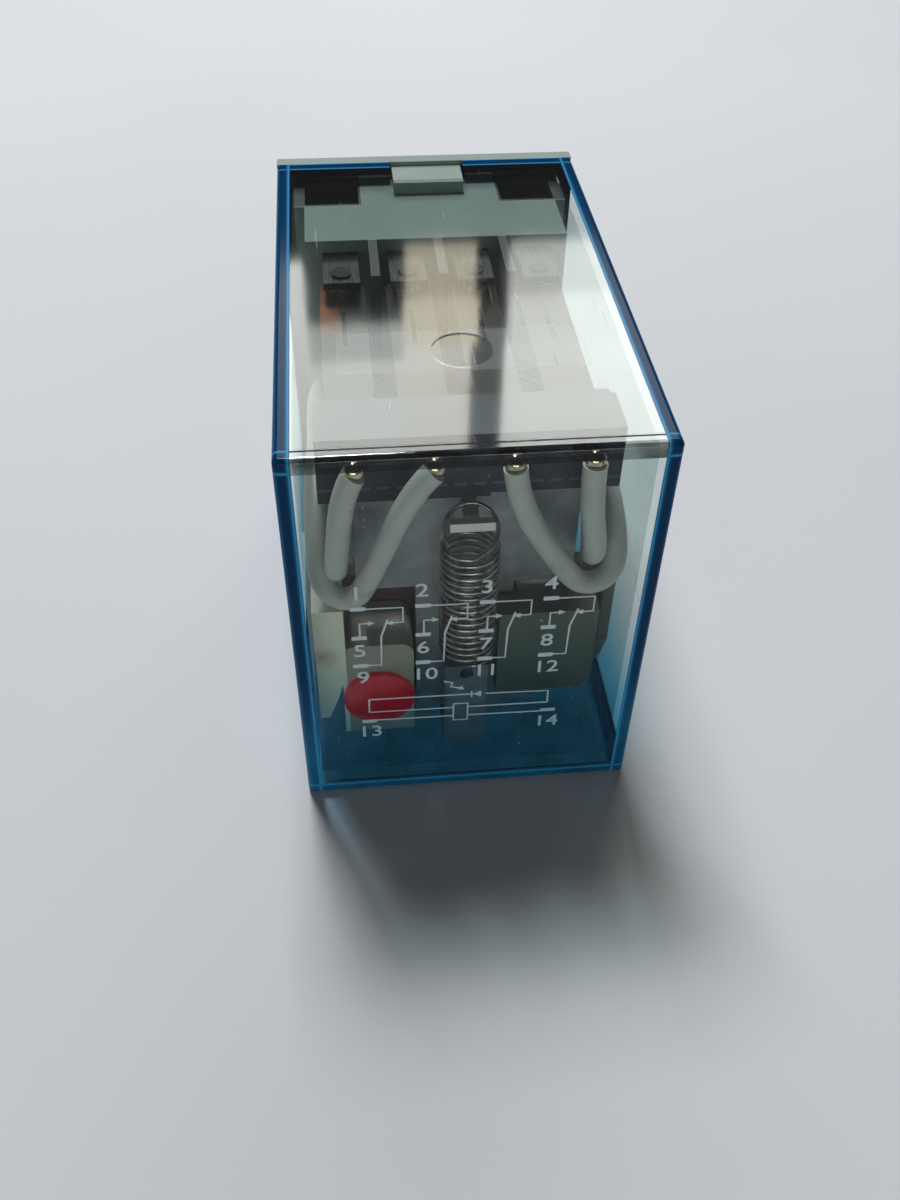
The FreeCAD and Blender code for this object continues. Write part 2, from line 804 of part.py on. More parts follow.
def contact_rivets():
    """Fixed contacts under the closed arms and on the open arms, and the moving contacts."""
    closed = []
    opened = []
    moving = []
    spring_low = "SpringLevel - SpringThick / 2"
    spring_high = "SpringLevel + SpringThick / 2"
    open_depth = "ContactDepth - OpenContactShift"
    for index in range(len(COLUMN_STEPS)):
        x = column(index)
        head = post(f"ClosedHead_{index}", "HeadRadius", x, "ContactDepth",
                    (f"{CLOSED_ARM_LOW} - HeadHeight", CLOSED_ARM_LOW))
        shank = post(f"ClosedShank_{index}", "ShankRadius", x, "ContactDepth",
                     (f"{CLOSED_ARM_LOW} - HeadHeight", f"{CLOSED_ARM_LOW} + ArmThick"))
        stake = post(f"ClosedStake_{index}", "StakeSpread", x, "ContactDepth",
                     (f"{CLOSED_ARM_LOW} + ArmThick", f"{CLOSED_ARM_LOW} + ArmThick + StakeHeight"))
        closed.append(fused(f"ClosedRivet_{index}", [head, shank, stake]))
        head = post(f"OpenHead_{index}", "HeadRadius", x, open_depth,
                    (OPEN_ARM_TOP, f"{OPEN_ARM_TOP} + HeadHeight"))
        shank = post(f"OpenShank_{index}", "ShankRadius", x, open_depth,
                     (f"{OPEN_ARM_TOP} - ArmThick", f"{OPEN_ARM_TOP} + HeadHeight"))
        stake = post(f"OpenStake_{index}", "StakeSpread", x, open_depth,
                     (f"{OPEN_ARM_TOP} - ArmThick - StakeHeight", f"{OPEN_ARM_TOP} - ArmThick"))
        opened.append(fused(f"OpenRivet_{index}", [head, shank, stake]))
        upper = post(f"MovingUpper_{index}", "HeadRadius", x, "ContactDepth",
                     (spring_high, f"{spring_high} + HeadHeight"))
        shank = post(f"MovingShank_{index}", "ShankRadius", x, "ContactDepth",
                     (f"{spring_low} - HeadHeight", f"{spring_high} + HeadHeight"))
        lower = post(f"MovingLower_{index}", "HeadRadius", x, "ContactDepth",
                     (f"{spring_low} - HeadHeight", spring_low))
        moving.append(fused(f"MovingRivet_{index}", [upper, shank, lower]))
    finish(grouped("ClosedRivets", closed), "nc_contact_rivets")
    finish(grouped("OpenRivets", opened), "no_contact_rivets")
    finish(grouped("MovingRivets", moving), "moving_contact_rivets")


# ---------------------------------------------------------------- moving assembly

def armature():
    """The hinged plate: wide above, a neck below, and a T-shaped tab for the return spring."""
    body = new_body("Armature")
    wide = "ArmatureWidth / 2"
    neck = "NeckWidth / 2"
    notch = "TongueWidth / 2 + NotchPlay"
    notch_top = "YokeBase + TongueThick + NotchPlay"
    plate = outline(
        (f"-({neck})", "ArmatureBottom"), (f"-({notch})", "ArmatureBottom"),
        (f"-({notch})", notch_top), (notch, notch_top),
        (notch, "ArmatureBottom"), (neck, "ArmatureBottom"),
        (neck, "ShoulderHeight"), (wide, "ShoulderHeight"),
        (wide, "ArmatureTop"), (f"-({wide})", "ArmatureTop"),
        (f"-({wide})", "ShoulderHeight"), (f"-({neck})", "ShoulderHeight"),
    )
    add_pad(body, "Plate", "XZ_Plane", plate, ARMATURE_REAR, "ArmatureThick")
    root = f"{ARMATURE_REAR} + ArmatureThick / 2"
    tab = outline(
        ("-TabNeck / 2", root), ("TabNeck / 2", root),
        ("TabNeck / 2", "TabHeadStart"), ("TabHead / 2", "TabHeadStart"),
        ("TabHead / 2", "TabReach"), ("-TabHead / 2", "TabReach"),
        ("-TabHead / 2", "TabHeadStart"), ("-TabNeck / 2", "TabHeadStart"),
    )
    add_pad(body, "Tab", "XY_Plane", tab, "TabHeight - TabThick / 2", "TabThick")
    finish(body, "armature")


def movable_block():
    """The dark moulding on the armature's top edge, with a stepped top, that holds the springs."""
    half = "CarrierWidth / 2"
    step_depth = ("CarrierRear", "CarrierRear + CarrierStep")
    block = slab("CarrierBlock", (f"-{half}", half), ("CarrierRear", "CarrierFront"),
                 ("CarrierBottom", "CarrierTop"))
    play = "SlotPlay"
    wide = f"ArmatureWidth / 2 + {play}"
    tools = [
        slab("CarrierPlate", (f"-({wide})", wide),
             (f"{ARMATURE_REAR} - {play}", f"{ARMATURE_FRONT} + {play}"),
             ("CarrierBottom - 1", f"ArmatureTop + {play}")),
        slab("CarrierNotchCut", ("CarrierNotchStart", f"{half} + 1"),
             (f"{ARMATURE_FRONT} - {play}", "CarrierFront + 1"),
             ("CarrierBottom - 1", "CarrierBottom + CarrierNotch")),
        slab("CarrierLedge", (f"-{half} - 1", f"{half} + 1"), (f"{step_depth[0]} - 1", step_depth[1]),
             ("CarrierTop - CarrierStep / 2", "CarrierTop + 1")),
    ]
    for index in range(len(COLUMN_STEPS)):
        centre = column(index)
        side = f"SpringWidth / 2 + {play}"
        tools.append(slab(f"CarrierSlot_{index}", (f"{centre} - ({side})", f"{centre} + {side}"),
                          ("CarrierRear - 1", "CarrierFront + 1"),
                          (f"SpringLevel - SpringThick / 2 - {play}",
                           f"SpringLevel + SpringThick / 2 + {play}")))
    finish(cut("Carrier", block, tools), "movable_block")


def moving_springs():
    """Four leaf springs with a slit near the contact and a raised solder tail at the front."""
    low = "SpringLevel - SpringThick / 2"
    high = "SpringLevel + SpringThick / 2"
    root = "CarrierFront - TailWidth"
    for index in range(len(COLUMN_STEPS)):
        centre = column(index)
        left = f"{centre} - SpringWidth / 2"
        right = f"{centre} + SpringWidth / 2"
        body = new_body(f"MovingSpring_{index + 1}")
        strip = outline(
            (f"{left} + SpringCorner", "SpringEnd"), (f"{right} - SpringCorner", "SpringEnd"),
            (right, "SpringEnd + SpringCorner"), (right, "CarrierFront"),
            (left, "CarrierFront"), (left, "SpringEnd + SpringCorner"),
        )
        add_pad(body, f"Strip_{index}", "XY_Plane", strip, low, "SpringThick")
        tail = outline(
            (root, low), ("CarrierFront", low), ("TailReach", f"{low} + TailRise"),
            ("TailReach", f"{high} + TailRise"), ("CarrierFront", high), (root, high),
        )
        add_pad(body, f"Tail_{index}", "YZ_Plane", tail, f"{centre} - TailWidth / 2", "TailWidth")
        shank = circle((centre, "ContactDepth"), "ShankRadius")
        add_pocket(body, f"Shank_{index}", "XY_Plane", shank, low, "SpringThick")
        slit_start = "ContactDepth + SlitFromEnd"
        slit = rectangle((f"{centre} - SlitWidth / 2", f"{centre} + SlitWidth / 2"),
                         (slit_start, f"{slit_start} + SlitLength"))
        add_pocket(body, f"Slit_{index}", "XY_Plane", slit, low, "SpringThick")
        finish(body, f"moving_spring_{index + 1}")


# ---------------------------------------------------------------- magnet

def yoke():
    """The L-shaped iron frame with the tongue that anchors the return spring."""
    body = new_body("Yoke")
    front = "HingeDepth - HingePlay"
    top_of_leg = "YokeBase + YokeThick"
    profile = outline(
        (BASE_FRONT, "YokeBase"), (front, "YokeBase"), (front, top_of_leg),
        (f"{BASE_FRONT} + YokeThick", top_of_leg), (f"{BASE_FRONT} + YokeThick", "YokeTop"),
        (BASE_FRONT, "YokeTop"),
    )
    add_pad(body, "Frame", "YZ_Plane", profile, "-YokeWidth / 2", "YokeWidth")
    outer = "TongueDepth + TongueThick / 2"
    inner = "TongueDepth - TongueThick / 2"
    root = f"{front} - YokeThick"
    tongue = outline(
        (root, "YokeBase"), (outer, "YokeBase"), (outer, "TongueTop"), (inner, "TongueTop"),
        (inner, "YokeBase + TongueThick"), (root, "YokeBase + TongueThick"),
    )
    add_pad(body, "Tongue", "YZ_Plane", tongue, "-TongueWidth / 2", "TongueWidth")
    hook = circle(("0", "TongueHoleHeight"), "TongueHoleRadius")
    add_pocket(body, "HookHole", "XZ_Plane", hook, inner, "TongueThick")
    stem = circle(("0", "RowCoil"), "StemRadius")
    add_pocket(body, "StemHole", "XZ_Plane", stem, BASE_FRONT, "YokeThick")
    for side in (-1, 1):
        rivet = circle((f"{side} * RivetOffset", "RivetHeight"), "RivetRadius")
        add_pocket(body, f"YokeRivet_{side + 1}", "XZ_Plane", rivet, BASE_FRONT, "YokeThick")
    finish(body, "yoke")
    pins = [
        rod(f"RivetPin_{side + 1}", "RivetRadius", f"{side} * RivetOffset",
            ("RivetStart", f"{BASE_FRONT} + YokeThick"), "RivetHeight")
        for side in (-1, 1)
    ]
    finish(grouped("RivetPins", pins), "yoke_rivets")


def half_ring(name, radius, floor, depth):
    """The upper part of a disc, above a chord, in the pole face."""
    disc = rod(f"{name}_disc", radius, "0", depth, "RowCoil")
    low = f"RowCoil + {floor}"
    band = slab(f"{name}_band", (f"-({radius})", radius), depth, (low, f"RowCoil + {radius}"))
    common = DOC.addObject("Part::Common", name)
    common.Base = disc
    common.Tool = band
    return common


def core_and_ring():
    """The staked core and the D-shaped shading ring let into its pole face."""
    stem_end = f"{BASE_FRONT} + YokeThick"
    shaft = rod("CoreShaft", "CoreRadius", "0", (stem_end, CORE_FRONT), "RowCoil")
    stem = rod("CoreStem", "StemRadius", "0", (f"{BASE_FRONT} - StakeDepth / 2", f"{stem_end} + 1"),
               "RowCoil")
    stake = rod("CoreStake", "StakeRadius", "0", (f"{BASE_FRONT} - StakeDepth", BASE_FRONT),
                "RowCoil")
    blank = fused("CoreBlank", [shaft, stem, stake])
    seat = (f"{CORE_FRONT} - RingDepth - RingPlay", f"{CORE_FRONT} + 1")
    groove_outer = half_ring("GrooveOuter", "(RingRadius + RingPlay)", "(-RingPlay)", seat)
    groove_inner = half_ring("GrooveInner", "(RingRadius - RingThick - RingPlay)",
                             "(RingThick + RingPlay)", seat)
    groove = cut("Groove", groove_outer, [groove_inner])
    finish(cut("Core", blank, [groove]), "iron_core")
    depth = (f"{CORE_FRONT} - RingDepth", CORE_FRONT)
    outer = half_ring("RingOuter", "RingRadius", "0", depth)
    inner = half_ring("RingInner", "(RingRadius - RingThick)", "RingThick", depth)
    finish(cut("Ring", outer, [inner]), "shading_ring")


def pad_lip():
    """The plate in front of the armature's neck, rounded at its lower outer corner."""
    body = new_body("PadLip")
    plate = rectangle(("PadInner", "PadOuter"), ("PadLow", "PadTop"))
    add_pad(body, "LipPlate", "XZ_Plane", plate, "PadRear", "PadFront - PadRear")
    corner = value("PadOuter")
    level = value("PadLow")
    round_edges(body, "LipRound", "PadRound", lambda edge: runs_along_depth(edge)
                and edge.BoundBox.XMin > corner - 1e-3 and edge.BoundBox.ZMax < level + 1e-3)
    return body


def lamp_holder():
    """The block that holds the lamp, with its two upper corners rounded."""
    body = new_body("LampHolder")
    front = rectangle(("-HolderOuter", "-HolderInner"), ("HolderLow", "HolderTop"))
    add_pad(body, "HolderBlock", "XZ_Plane", front, WINDING_FRONT,
            f"HolderFront - ({WINDING_FRONT})")
    level = value("HolderTop")
    round_edges(body, "HolderCorners", "HolderRound", lambda edge: runs_along_depth(edge)
                and edge.BoundBox.ZMin > level - 1e-3)
    return body


def wire_guide():
    """The broad cheek beside the lamp, tapered to a point at its foot."""
    body = new_body("WireGuide")
    front = outline(
        ("-GuideOuter", "GuideLow"), ("-GuideFoot", "GuideLow"),
        ("-GuideShin", "GuideKnee"), ("-GuideInner", "GuideSlope"),
        ("-GuideInner", "WingTop"), ("-GuideOuter", "WingTop"),
    )
    add_pad(body, "GuidePlate", "XZ_Plane", front, "GuideRear", "GuideFront - GuideRear")
    return body


def coil_bobbin():
    """The spool with its cheeks, side wings, lamp holder and front pad."""
    half = "CheekWidth / 2"
    barrel_low = "RowCoil - BarrelHeight / 2"
    barrel = slab("Barrel", ("-BarrelWidth / 2", "BarrelWidth / 2"), ("BobbinRear", "BobbinFront"),
                  (barrel_low, "RowCoil + BarrelHeight / 2"))
    pieces = [barrel]
    for name, depth in (("Rear", ("BobbinRear", WINDING_REAR)),
                        ("Front", (WINDING_FRONT, "BobbinFront"))):
        pieces.append(slab(f"Cheek_{name}", (f"-{half}", half), depth, ("CheekLow", "CheekHigh")))
    pieces.append(lamp_holder())
    pieces.append(slab("FrontPad", ("HolderInner", "HolderOuter"), (WINDING_FRONT, "PadFront"),
                       ("PadLow + PadRound", "PadTop")))
    pieces.append(pad_lip())
    pieces.append(wire_guide())
    wing_outer = "WingInner + WingThick"
    pieces.append(slab("WingArms", (f"-({wing_outer})", wing_outer), (WINDING_FRONT, "BobbinFront"),
                       ("WingArm", "CheekHigh")))
    for side, start in (("Left", f"-({wing_outer})"), ("Right", "WingInner")):
        wing = new_body(f"Wing{side}")
        shape = outline(("WingRear", "WingTop"), ("WingRear", "WingHeel"),
                        ("WingFront - WingToe", "WingTip"), ("WingFront", "WingKnee"),
                        ("WingFront", "WingTop"))
        add_pad(wing, f"WingPad{side}", "YZ_Plane", shape, start, "WingThick")
        pieces.append(wing)
    moulding = fused("Bobbin", pieces)
    tools = [rod("CoreBore", "CoreRadius + CorePlay", "0", ("BobbinRear - 1", "BobbinFront + 1"),
                 "RowCoil")]
    for side in (-1, 1):
        centre = f"LampHeight + {side} * LampLeadPitch / 2"
        level = (f"{centre} - LeadWire", f"{centre} + LeadWire")
        inner = "-LampOffset + LeadWire"
        tools.append(slab(f"LeadLane_{side + 1}", ("-HolderOuter - 1", inner),
                          ("LeadLaneDepth - LeadWire", "LeadLaneDepth + LeadWire"), level))
        tools.append(slab(f"LeadGroove_{side + 1}", ("-LampOffset - LeadGroove", inner),
                          ("LeadLaneDepth - LeadWire", "HolderFront + 1"), level))
    finish(cut("BobbinCut", moulding, tools), "coil_bobbin")


def rounded_sleeve(name, half_width, half_height, depth, bore_width, bore_height, bore_round):
    """A rounded rectangular tube round the coil's axis."""
    body = new_body(name)
    outer = rectangle((f"-({half_width})", half_width),
                      (f"RowCoil - ({half_height})", f"RowCoil + {half_height}"))
    add_pad(body, f"{name}_outer", "XZ_Plane", outer, depth[0], f"({depth[1]}) - ({depth[0]})")
    extra = f"WindingRound + ({half_width}) - WindingWidth / 2"
    round_edges(body, f"{name}_round", extra, runs_along_depth)
    if bore_round:
        return body
    bore = rectangle((f"-({bore_width})", bore_width),
                     (f"RowCoil - ({bore_height})", f"RowCoil + {bore_height}"))
    add_pocket(body, f"{name}_bore", "XZ_Plane", bore, "0", f"{depth[1]} + 1")
    return body


def coil_winding_and_tape():
    """The wound copper between the cheeks and the tape round it."""
    depth = (WINDING_REAR, WINDING_FRONT)
    half_width = "WindingWidth / 2"
    half_height = "WindingHeight / 2"
    winding = rounded_sleeve("Winding", half_width, half_height, depth,
                             "BarrelWidth / 2", "BarrelHeight / 2", False)
    finish(winding, "coil_winding")
    tape_depth = (f"{WINDING_REAR} + TapeInset", f"{WINDING_FRONT} - TapeInset")
    wrap = rounded_sleeve("TapeOuter", f"{half_width} + TapeThick", f"{half_height} + TapeThick",
                          tape_depth, "", "", True)
    core = rounded_sleeve("TapeInner", half_width, half_height, depth, "", "", True)
    finish(cut("Tape", wrap, [core]), "coil_tape")


def coil_lead_wires():
    """The two ends of the winding, brought to the coil posts."""
    reach = value("PostReach - PostWireInset")
    post_side = value(f"{column(0)} + BladeThick / 2")
    skin = value("WindingWidth / 2 + TapeThick + CoilLead / 2")
    height = value("RowCoil + CoilLeadRise")
    rear = value("BobbinRear")
    solids = []
    for side in (-1, 1):
        points = [(side * (skin + out), rear + ahead, height + up)
                  for out, ahead, up in COIL_LEAD_STEPS]
        points.append((side * post_side, reach, height))
        solids.append(wire_solid(path_edges(points), value("CoilLead")))
    finish(placed_feature("CoilLeads", Part.makeCompound(solids)), "coil_lead_wires")


# ---------------------------------------------------------------- indicator circuit

def indicator_led():
    """The lamp set in its holder, with a slightly crowned face."""
    nose = "HolderFront + LampLength"
    face = f"{nose} + LampRise"
    barrel = rod("LampBarrel", "LampRadius", "-LampOffset", ("HolderFront", face), "LampHeight")
    crown = ball("LampCrown", "LampFace", "-LampOffset", f"{face} - LampFace", "LampHeight")
    ahead = slab("LampAhead", ("-LampOffset - LampRadius - 1", "-LampOffset + LampRadius + 1"),
                 (nose, f"{face} + 1"),
                 ("LampHeight - LampRadius - 1", "LampHeight + LampRadius + 1"))
    finish(cut("Lamp", barrel, [cut("LampMould", ahead, [crown])]), "indicator_led")


def led_leads():
    """Two wires from the back of the lamp to the lane beside the winding."""
    lane = value("LeadLane")
    lane_depth = value("LeadLaneDepth")
    x = -value("LampOffset")
    ends = (value("ResistorFront + PigtailLength"), value("DiodeFront + PigtailLength"))
    solids = []
    for side, end in zip((-1, 1), ends):
        height = value(f"LampHeight + {side} * LampLeadPitch / 2")
        points = (
            (x, value("HolderFront"), height),
            (x, lane_depth, height),
            (-lane, lane_depth, height),
            (-lane, end, height),
        )
        solids.append(wire_solid(path_edges(points), value("LeadWire")))
    finish(placed_feature("LampLeads", Part.makeCompound(solids)), "led_leads")


def axial_part(label, side, radius, rear, front, tail_points):
    """A resistor or diode in the lane, with its front pigtail and its routed rear lead."""
    lane = value("LeadLane")
    height = value(f"LampHeight + {side} * LampLeadPitch / 2")
    rear_depth = value(rear)
    front_depth = value(front)
    toward = FreeCAD.Vector(0, -1, 0)
    start = FreeCAD.Vector(-lane, -rear_depth, height)
    solid = Part.makeCylinder(value(radius), front_depth - rear_depth, start, toward)
    pigtail_start = FreeCAD.Vector(-lane, -front_depth + JOIN, height)
    pigtail = Part.makeCylinder(value("LeadWire / 2"), value("PigtailLength") + JOIN,
                                pigtail_start, toward)
    points = ((-lane, rear_depth + JOIN, height),) + tail_points
    tail = wire_solid(path_edges(points), value("LeadWire"))
    shape = solid.fuse(pigtail).fuse(tail).removeSplitter()
    finish(placed_feature(label.title().replace("_", ""), shape), label)


def indicator_circuit():
    """The lamp, its resistor to one coil post and its diode, wired across, to the other."""
    indicator_led()
    led_leads()
    side = value(f"{column(0)} + BladeThick / 2")
    lane = value("LeadLane")
    coil = value("RowCoil")
    depth = value("PostReach - PostWireInset")
    above_yoke = value("YokeTop + CrossWireRise")
    resistor_tail = (
        (-lane, 10.6, 5.6),
        (-lane, 8.2, 7.6),
        (-8.3, depth, coil),
        (-side, depth, coil),
    )
    axial_part("led_resistor", -1, "ResistorRadius", "ResistorRear", "ResistorFront", resistor_tail)
    diode_tail = (
        (-lane, 11.6, 8.3),
        (-lane, 9.0, 10.6),
        (-lane, depth, above_yoke),
        (0.3, depth + 0.02, above_yoke + 0.03),
        (lane, depth, above_yoke),
        (lane, depth + 0.05, coil + 0.1),
        (side, depth, coil),
    )
    axial_part("led_diode", 1, "DiodeRadius", "DiodeRear", "DiodeFront", diode_tail)


# ---------------------------------------------------------------- return spring

def spring_hook(name, points):
    """One end hook of the return spring, in its own plane."""
    return placed_feature(name, wire_solid(path_edges(points), value("CoilWire")))


def return_spring():
    """The tension spring: a helix and an end hook over the tab and through the tongue."""
    helix = DOC.addObject("Part::Helix", "SpringPath")
    bind(helix, "Pitch", "(CoilHigh - CoilLow) / CoilTurns")
    bind(helix, "Height", "CoilHigh - CoilLow")
    bind(helix, "Radius", "CoilMeanRadius")
    section = DOC.addObject("Part::Circle", "SpringSection")
    bind(section, "Radius", "CoilWire / 2")
    section.Placement.Rotation = FreeCAD.Rotation(FreeCAD.Vector(1, 0, 0), 90)
    bind(section, "Placement.Base.x", "CoilMeanRadius")
    coil = DOC.addObject("Part::Sweep", "SpringCoil")
    coil.Sections = [section]
    coil.Spine = (helix, [])
    coil.Solid = True
    coil.Frenet = True
    coil.Placement.Rotation = FreeCAD.Rotation(FreeCAD.Vector(0, 0, 1), -90)
    bind(coil, "Placement.Base.y", f"{SEAT} - TongueDepth")
    bind(coil, "Placement.Base.z", "CoilLow")
    radius = value("CoilMeanRadius")
    depth = value("TongueDepth")
    half = value("LowLoopHalf")
    wide = value("TopLoopHalf")
    rise = value("LoopRise")
    high = value("CoilHigh")
    low = value("CoilLow")
    over = value("TabHeight + TabThick / 2 + CoilWire / 2 + LoopPlay")
    under = value("LowLoopHeight")
    top = ((radius, depth, high), (wide, depth, high + rise), (wide, depth, over),
           (-wide, depth, over), (-wide, depth, over - wide))
    bottom = ((0, depth + radius, low), (0, depth + half, low - rise), (0, depth + half, under),
              (0, depth - half, under), (0, depth - half, under + half))
    hooks = [spring_hook("SpringTopHook", top), spring_hook("SpringLowHook", bottom)]
    finish(fused("ReturnSpring", [coil, *hooks]), "return_spring")


# ---------------------------------------------------------------- flexible leads

def flexible_leads():
    """The four leads, each a conductor in its own sleeve."""
    conductors = []
    for number, route in LEAD_ROUTES.items():
        edges = path_edges(route)
        radii = [round(edge.toShape().Curve.Radius, 1) for edge in edges[1::2]]
        length = sum(edge.length() for edge in edges)
        print(f"lead {number}: length {length:.1f} mm, bend radii {radii}")
        conductors.append(wire_solid(edges, value("Conductor")))
        covered = path_edges(route, value("BareTop"), value("BareEnd"))
        sleeve = wire_solid(covered, value("SleeveOuter")).cut(
            wire_solid(edges, value("SleeveBore")))
        finish(placed_feature(f"Sleeve{number}", sleeve), f"lead_sleeve_{number}")
    finish(placed_feature("LeadWires", Part.makeCompound(conductors)), "lead_wires")


def solder_joints():
    """Solder where each lead meets its spring tail and its common tag."""
    DOC.recompute()
    tails = []
    tags = []
    wires = next(part for part in SUBPARTS if part.Label == "lead_wires")
    for index, route in enumerate(LEAD_ROUTES.values()):
        spring = next(part for part in SUBPARTS if part.Label == f"moving_spring_{index + 1}")
        tag = next(part for part in SUBPARTS if part.Label == f"com_terminal_{index + 9}")
        start = ball(f"TailSolder_{index}", "TailSolder", column(index), route[0][1] - JOIN,
                     "SpringLevel + TailRise + TailSolder / 3")
        end = ball(f"TagSolder_{index}", "TagSolder", column(index), route[-1][1] + JOIN,
                   f"RowCommon + {BLADE_TOP} + TagSolder / 2")
        tails.append(cut(f"TailJoint_{index}", start, [spring, wires]))
        tags.append(cut(f"TagJoint_{index}", end, [tag, wires]))
    finish(grouped("TailJoints", tails), "tail_solder_joints")
    finish(grouped("TagJoints", tags), "com_solder_joints")


# ---------------------------------------------------------------- build and export

def check_document():
    """Stops when any object failed or any sub-part is not a valid shape."""
    for thing in DOC.Objects:
        if "Invalid" in thing.State or "Error" in thing.State:
            raise ValueError(f"{thing.Name} failed: {thing.State}")
    for part in SUBPARTS:
        shape = part.Shape
        if shape.isNull() or not shape.isValid() or not shape.Solids:
            raise ValueError(f"{part.Label} is not a valid solid")


def export():
    """Writes one STEP file for each sub-part."""
    os.makedirs("parts", exist_ok=True)
    for part in SUBPARTS:
        part.Shape.exportStep(os.path.join("parts", f"{part.Label}.step"))
        print(f"{part.Label}: {len(part.Shape.Solids)} solid(s), {part.Shape.Volume:.2f} mm3")


def main():
    write_sheet()
    clear_case()
    base_block()
    terminals()
    contact_rivets()
    armature()
    movable_block()
    moving_springs()
    yoke()
    core_and_ring()
    coil_bobbin()
    coil_winding_and_tape()
    coil_lead_wires()
    indicator_circuit()
    return_spring()
    flexible_leads()
    solder_joints()
    DOC.recompute()
    check_document()
    export()


main()
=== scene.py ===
"""Looks of a four-pole plug-in relay in a tinted clear case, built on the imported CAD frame."""

import json
import logging
import math
from dataclasses import dataclass
from enum import Enum
from typing import Any, Iterable, Sequence

import bpy
from mathutils import Matrix, Vector

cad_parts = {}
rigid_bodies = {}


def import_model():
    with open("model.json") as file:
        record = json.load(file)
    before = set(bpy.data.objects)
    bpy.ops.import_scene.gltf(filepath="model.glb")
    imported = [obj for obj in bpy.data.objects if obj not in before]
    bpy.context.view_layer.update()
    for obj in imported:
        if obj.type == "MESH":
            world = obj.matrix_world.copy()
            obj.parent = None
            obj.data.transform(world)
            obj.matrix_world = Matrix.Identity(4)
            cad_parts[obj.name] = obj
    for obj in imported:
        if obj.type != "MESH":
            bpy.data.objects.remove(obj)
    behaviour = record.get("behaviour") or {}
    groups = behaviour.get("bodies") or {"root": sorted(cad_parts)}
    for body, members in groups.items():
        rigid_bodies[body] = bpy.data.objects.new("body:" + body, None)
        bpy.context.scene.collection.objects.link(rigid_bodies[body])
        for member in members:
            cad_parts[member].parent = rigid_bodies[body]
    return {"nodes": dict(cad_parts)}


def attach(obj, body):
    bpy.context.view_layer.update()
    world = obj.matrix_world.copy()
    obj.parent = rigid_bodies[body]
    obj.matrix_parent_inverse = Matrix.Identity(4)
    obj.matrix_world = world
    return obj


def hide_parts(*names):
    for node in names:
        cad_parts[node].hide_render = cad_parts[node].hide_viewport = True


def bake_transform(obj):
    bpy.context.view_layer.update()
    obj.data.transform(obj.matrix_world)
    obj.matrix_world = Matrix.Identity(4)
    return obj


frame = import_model()

MM = 0.001
SEAT = 14.8          # the seating face, from which every lead's depth is counted
LOG = logging.getLogger("relay")

Point = tuple[float, float, float]
Colour = tuple[float, float, float, float]


class Body(str, Enum):
    """The two bodies that the hinge joins."""

    FRAME = "relay_frame"
    ARMATURE = "armature_assembly"


class Lay(Enum):
    """The way that a metal's grain runs."""

    ACROSS = (0.06, 1.0, 1.0)
    DEEP = (1.0, 0.06, 1.0)
    EVEN = (1.0, 1.0, 1.0)


# ---------------------------------------------------------------- shared helpers

def linear(code: str) -> Colour:
    """Turns an sRGB hex colour into a linear one.

    Args:
        code: Colour as "#rrggbb".

    Returns:
        Linear red, green, blue and a full alpha.
    """
    parts = [int(code[i:i + 2], 16) / 255 for i in (1, 3, 5)]
    red, green, blue = (p / 12.92 if p <= 0.04045 else ((p + 0.055) / 1.055) ** 2.4
                        for p in parts)
    return red, green, blue, 1.0


def add_node(tree: bpy.types.NodeTree, kind: str, inputs: dict[Any, Any] | None = None,
             **settings: Any) -> bpy.types.Node:
    """Adds a node with its settings and links.

    Args:
        tree: Tree that the node goes in.
        kind: Type name of the node.
        inputs: Socket name or index, and the value or the output socket that it takes.
        settings: Properties of the node itself.

    Returns:
        The new node.
    """
    node = tree.nodes.new(kind)
    for name, setting in settings.items():
        setattr(node, name, setting)
    for key, item in (inputs or {}).items():
        if isinstance(item, bpy.types.NodeSocket):
            tree.links.new(item, node.inputs[key])
        else:
            node.inputs[key].default_value = item
    return node


def new_material(name: str) -> tuple[bpy.types.Material, bpy.types.NodeTree, Any]:
    """Makes an empty node material.

    Args:
        name: Name of the real finish.

    Returns:
        The material, its tree and its Object coordinates.
    """
    material = bpy.data.materials.new(name)
    material.use_nodes = True
    tree = material.node_tree
    tree.nodes.clear()
    place = add_node(tree, "ShaderNodeTexCoord").outputs["Object"]
    return material, tree, place


def close_material(tree: bpy.types.NodeTree, shader: bpy.types.NodeSocket) -> None:
    """Links a shader to the tree's surface output."""
    add_node(tree, "ShaderNodeOutputMaterial", {"Surface": shader})


def mesh_object(name: str, points: Sequence[Sequence[float]], edges: Sequence[Sequence[int]],
                faces: Sequence[Sequence[int]]) -> bpy.types.Object:
    """Makes a mesh object at the origin.

    Args:
        name: Name of the piece.
        points: Vertices in metres.
        edges: Pairs of vertex indices.
        faces: Loops of vertex indices.

    Returns:
        The linked object.
    """
    mesh = bpy.data.meshes.new(name)
    mesh.from_pydata([tuple(p) for p in points], list(edges), list(faces))
    mesh.update()
    thing = bpy.data.objects.new(name, mesh)
    bpy.context.scene.collection.objects.link(thing)
    return thing


def chains(name: str, paths: Iterable[Sequence[Sequence[float]]]) -> bpy.types.Object:
    """Makes a mesh of open edge chains, one for each path.

    Args:
        name: Name of the piece.
        paths: Runs of points in metres.

    Returns:
        The object that a section is laid along.
    """
    points: list[Sequence[float]] = []
    edges: list[tuple[int, int]] = []
    for path in paths:
        first = len(points)
        points.extend(path)
        edges.extend((i, i + 1) for i in range(first, len(points) - 1))
    return mesh_object(name, points, edges, [])


def dressed(thing: bpy.types.Object, body: Body) -> bpy.types.Object:
    """Lets a piece ride on its body.

    Args:
        thing: Finished piece.
        body: Body that carries it.

    Returns:
        The same piece.
    """
    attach(thing, body.value)
    LOG.info("piece %s: %d faces, rides on %s", thing.name, len(thing.data.polygons), body.value)
    return thing


# ---------------------------------------------------------------- finishes

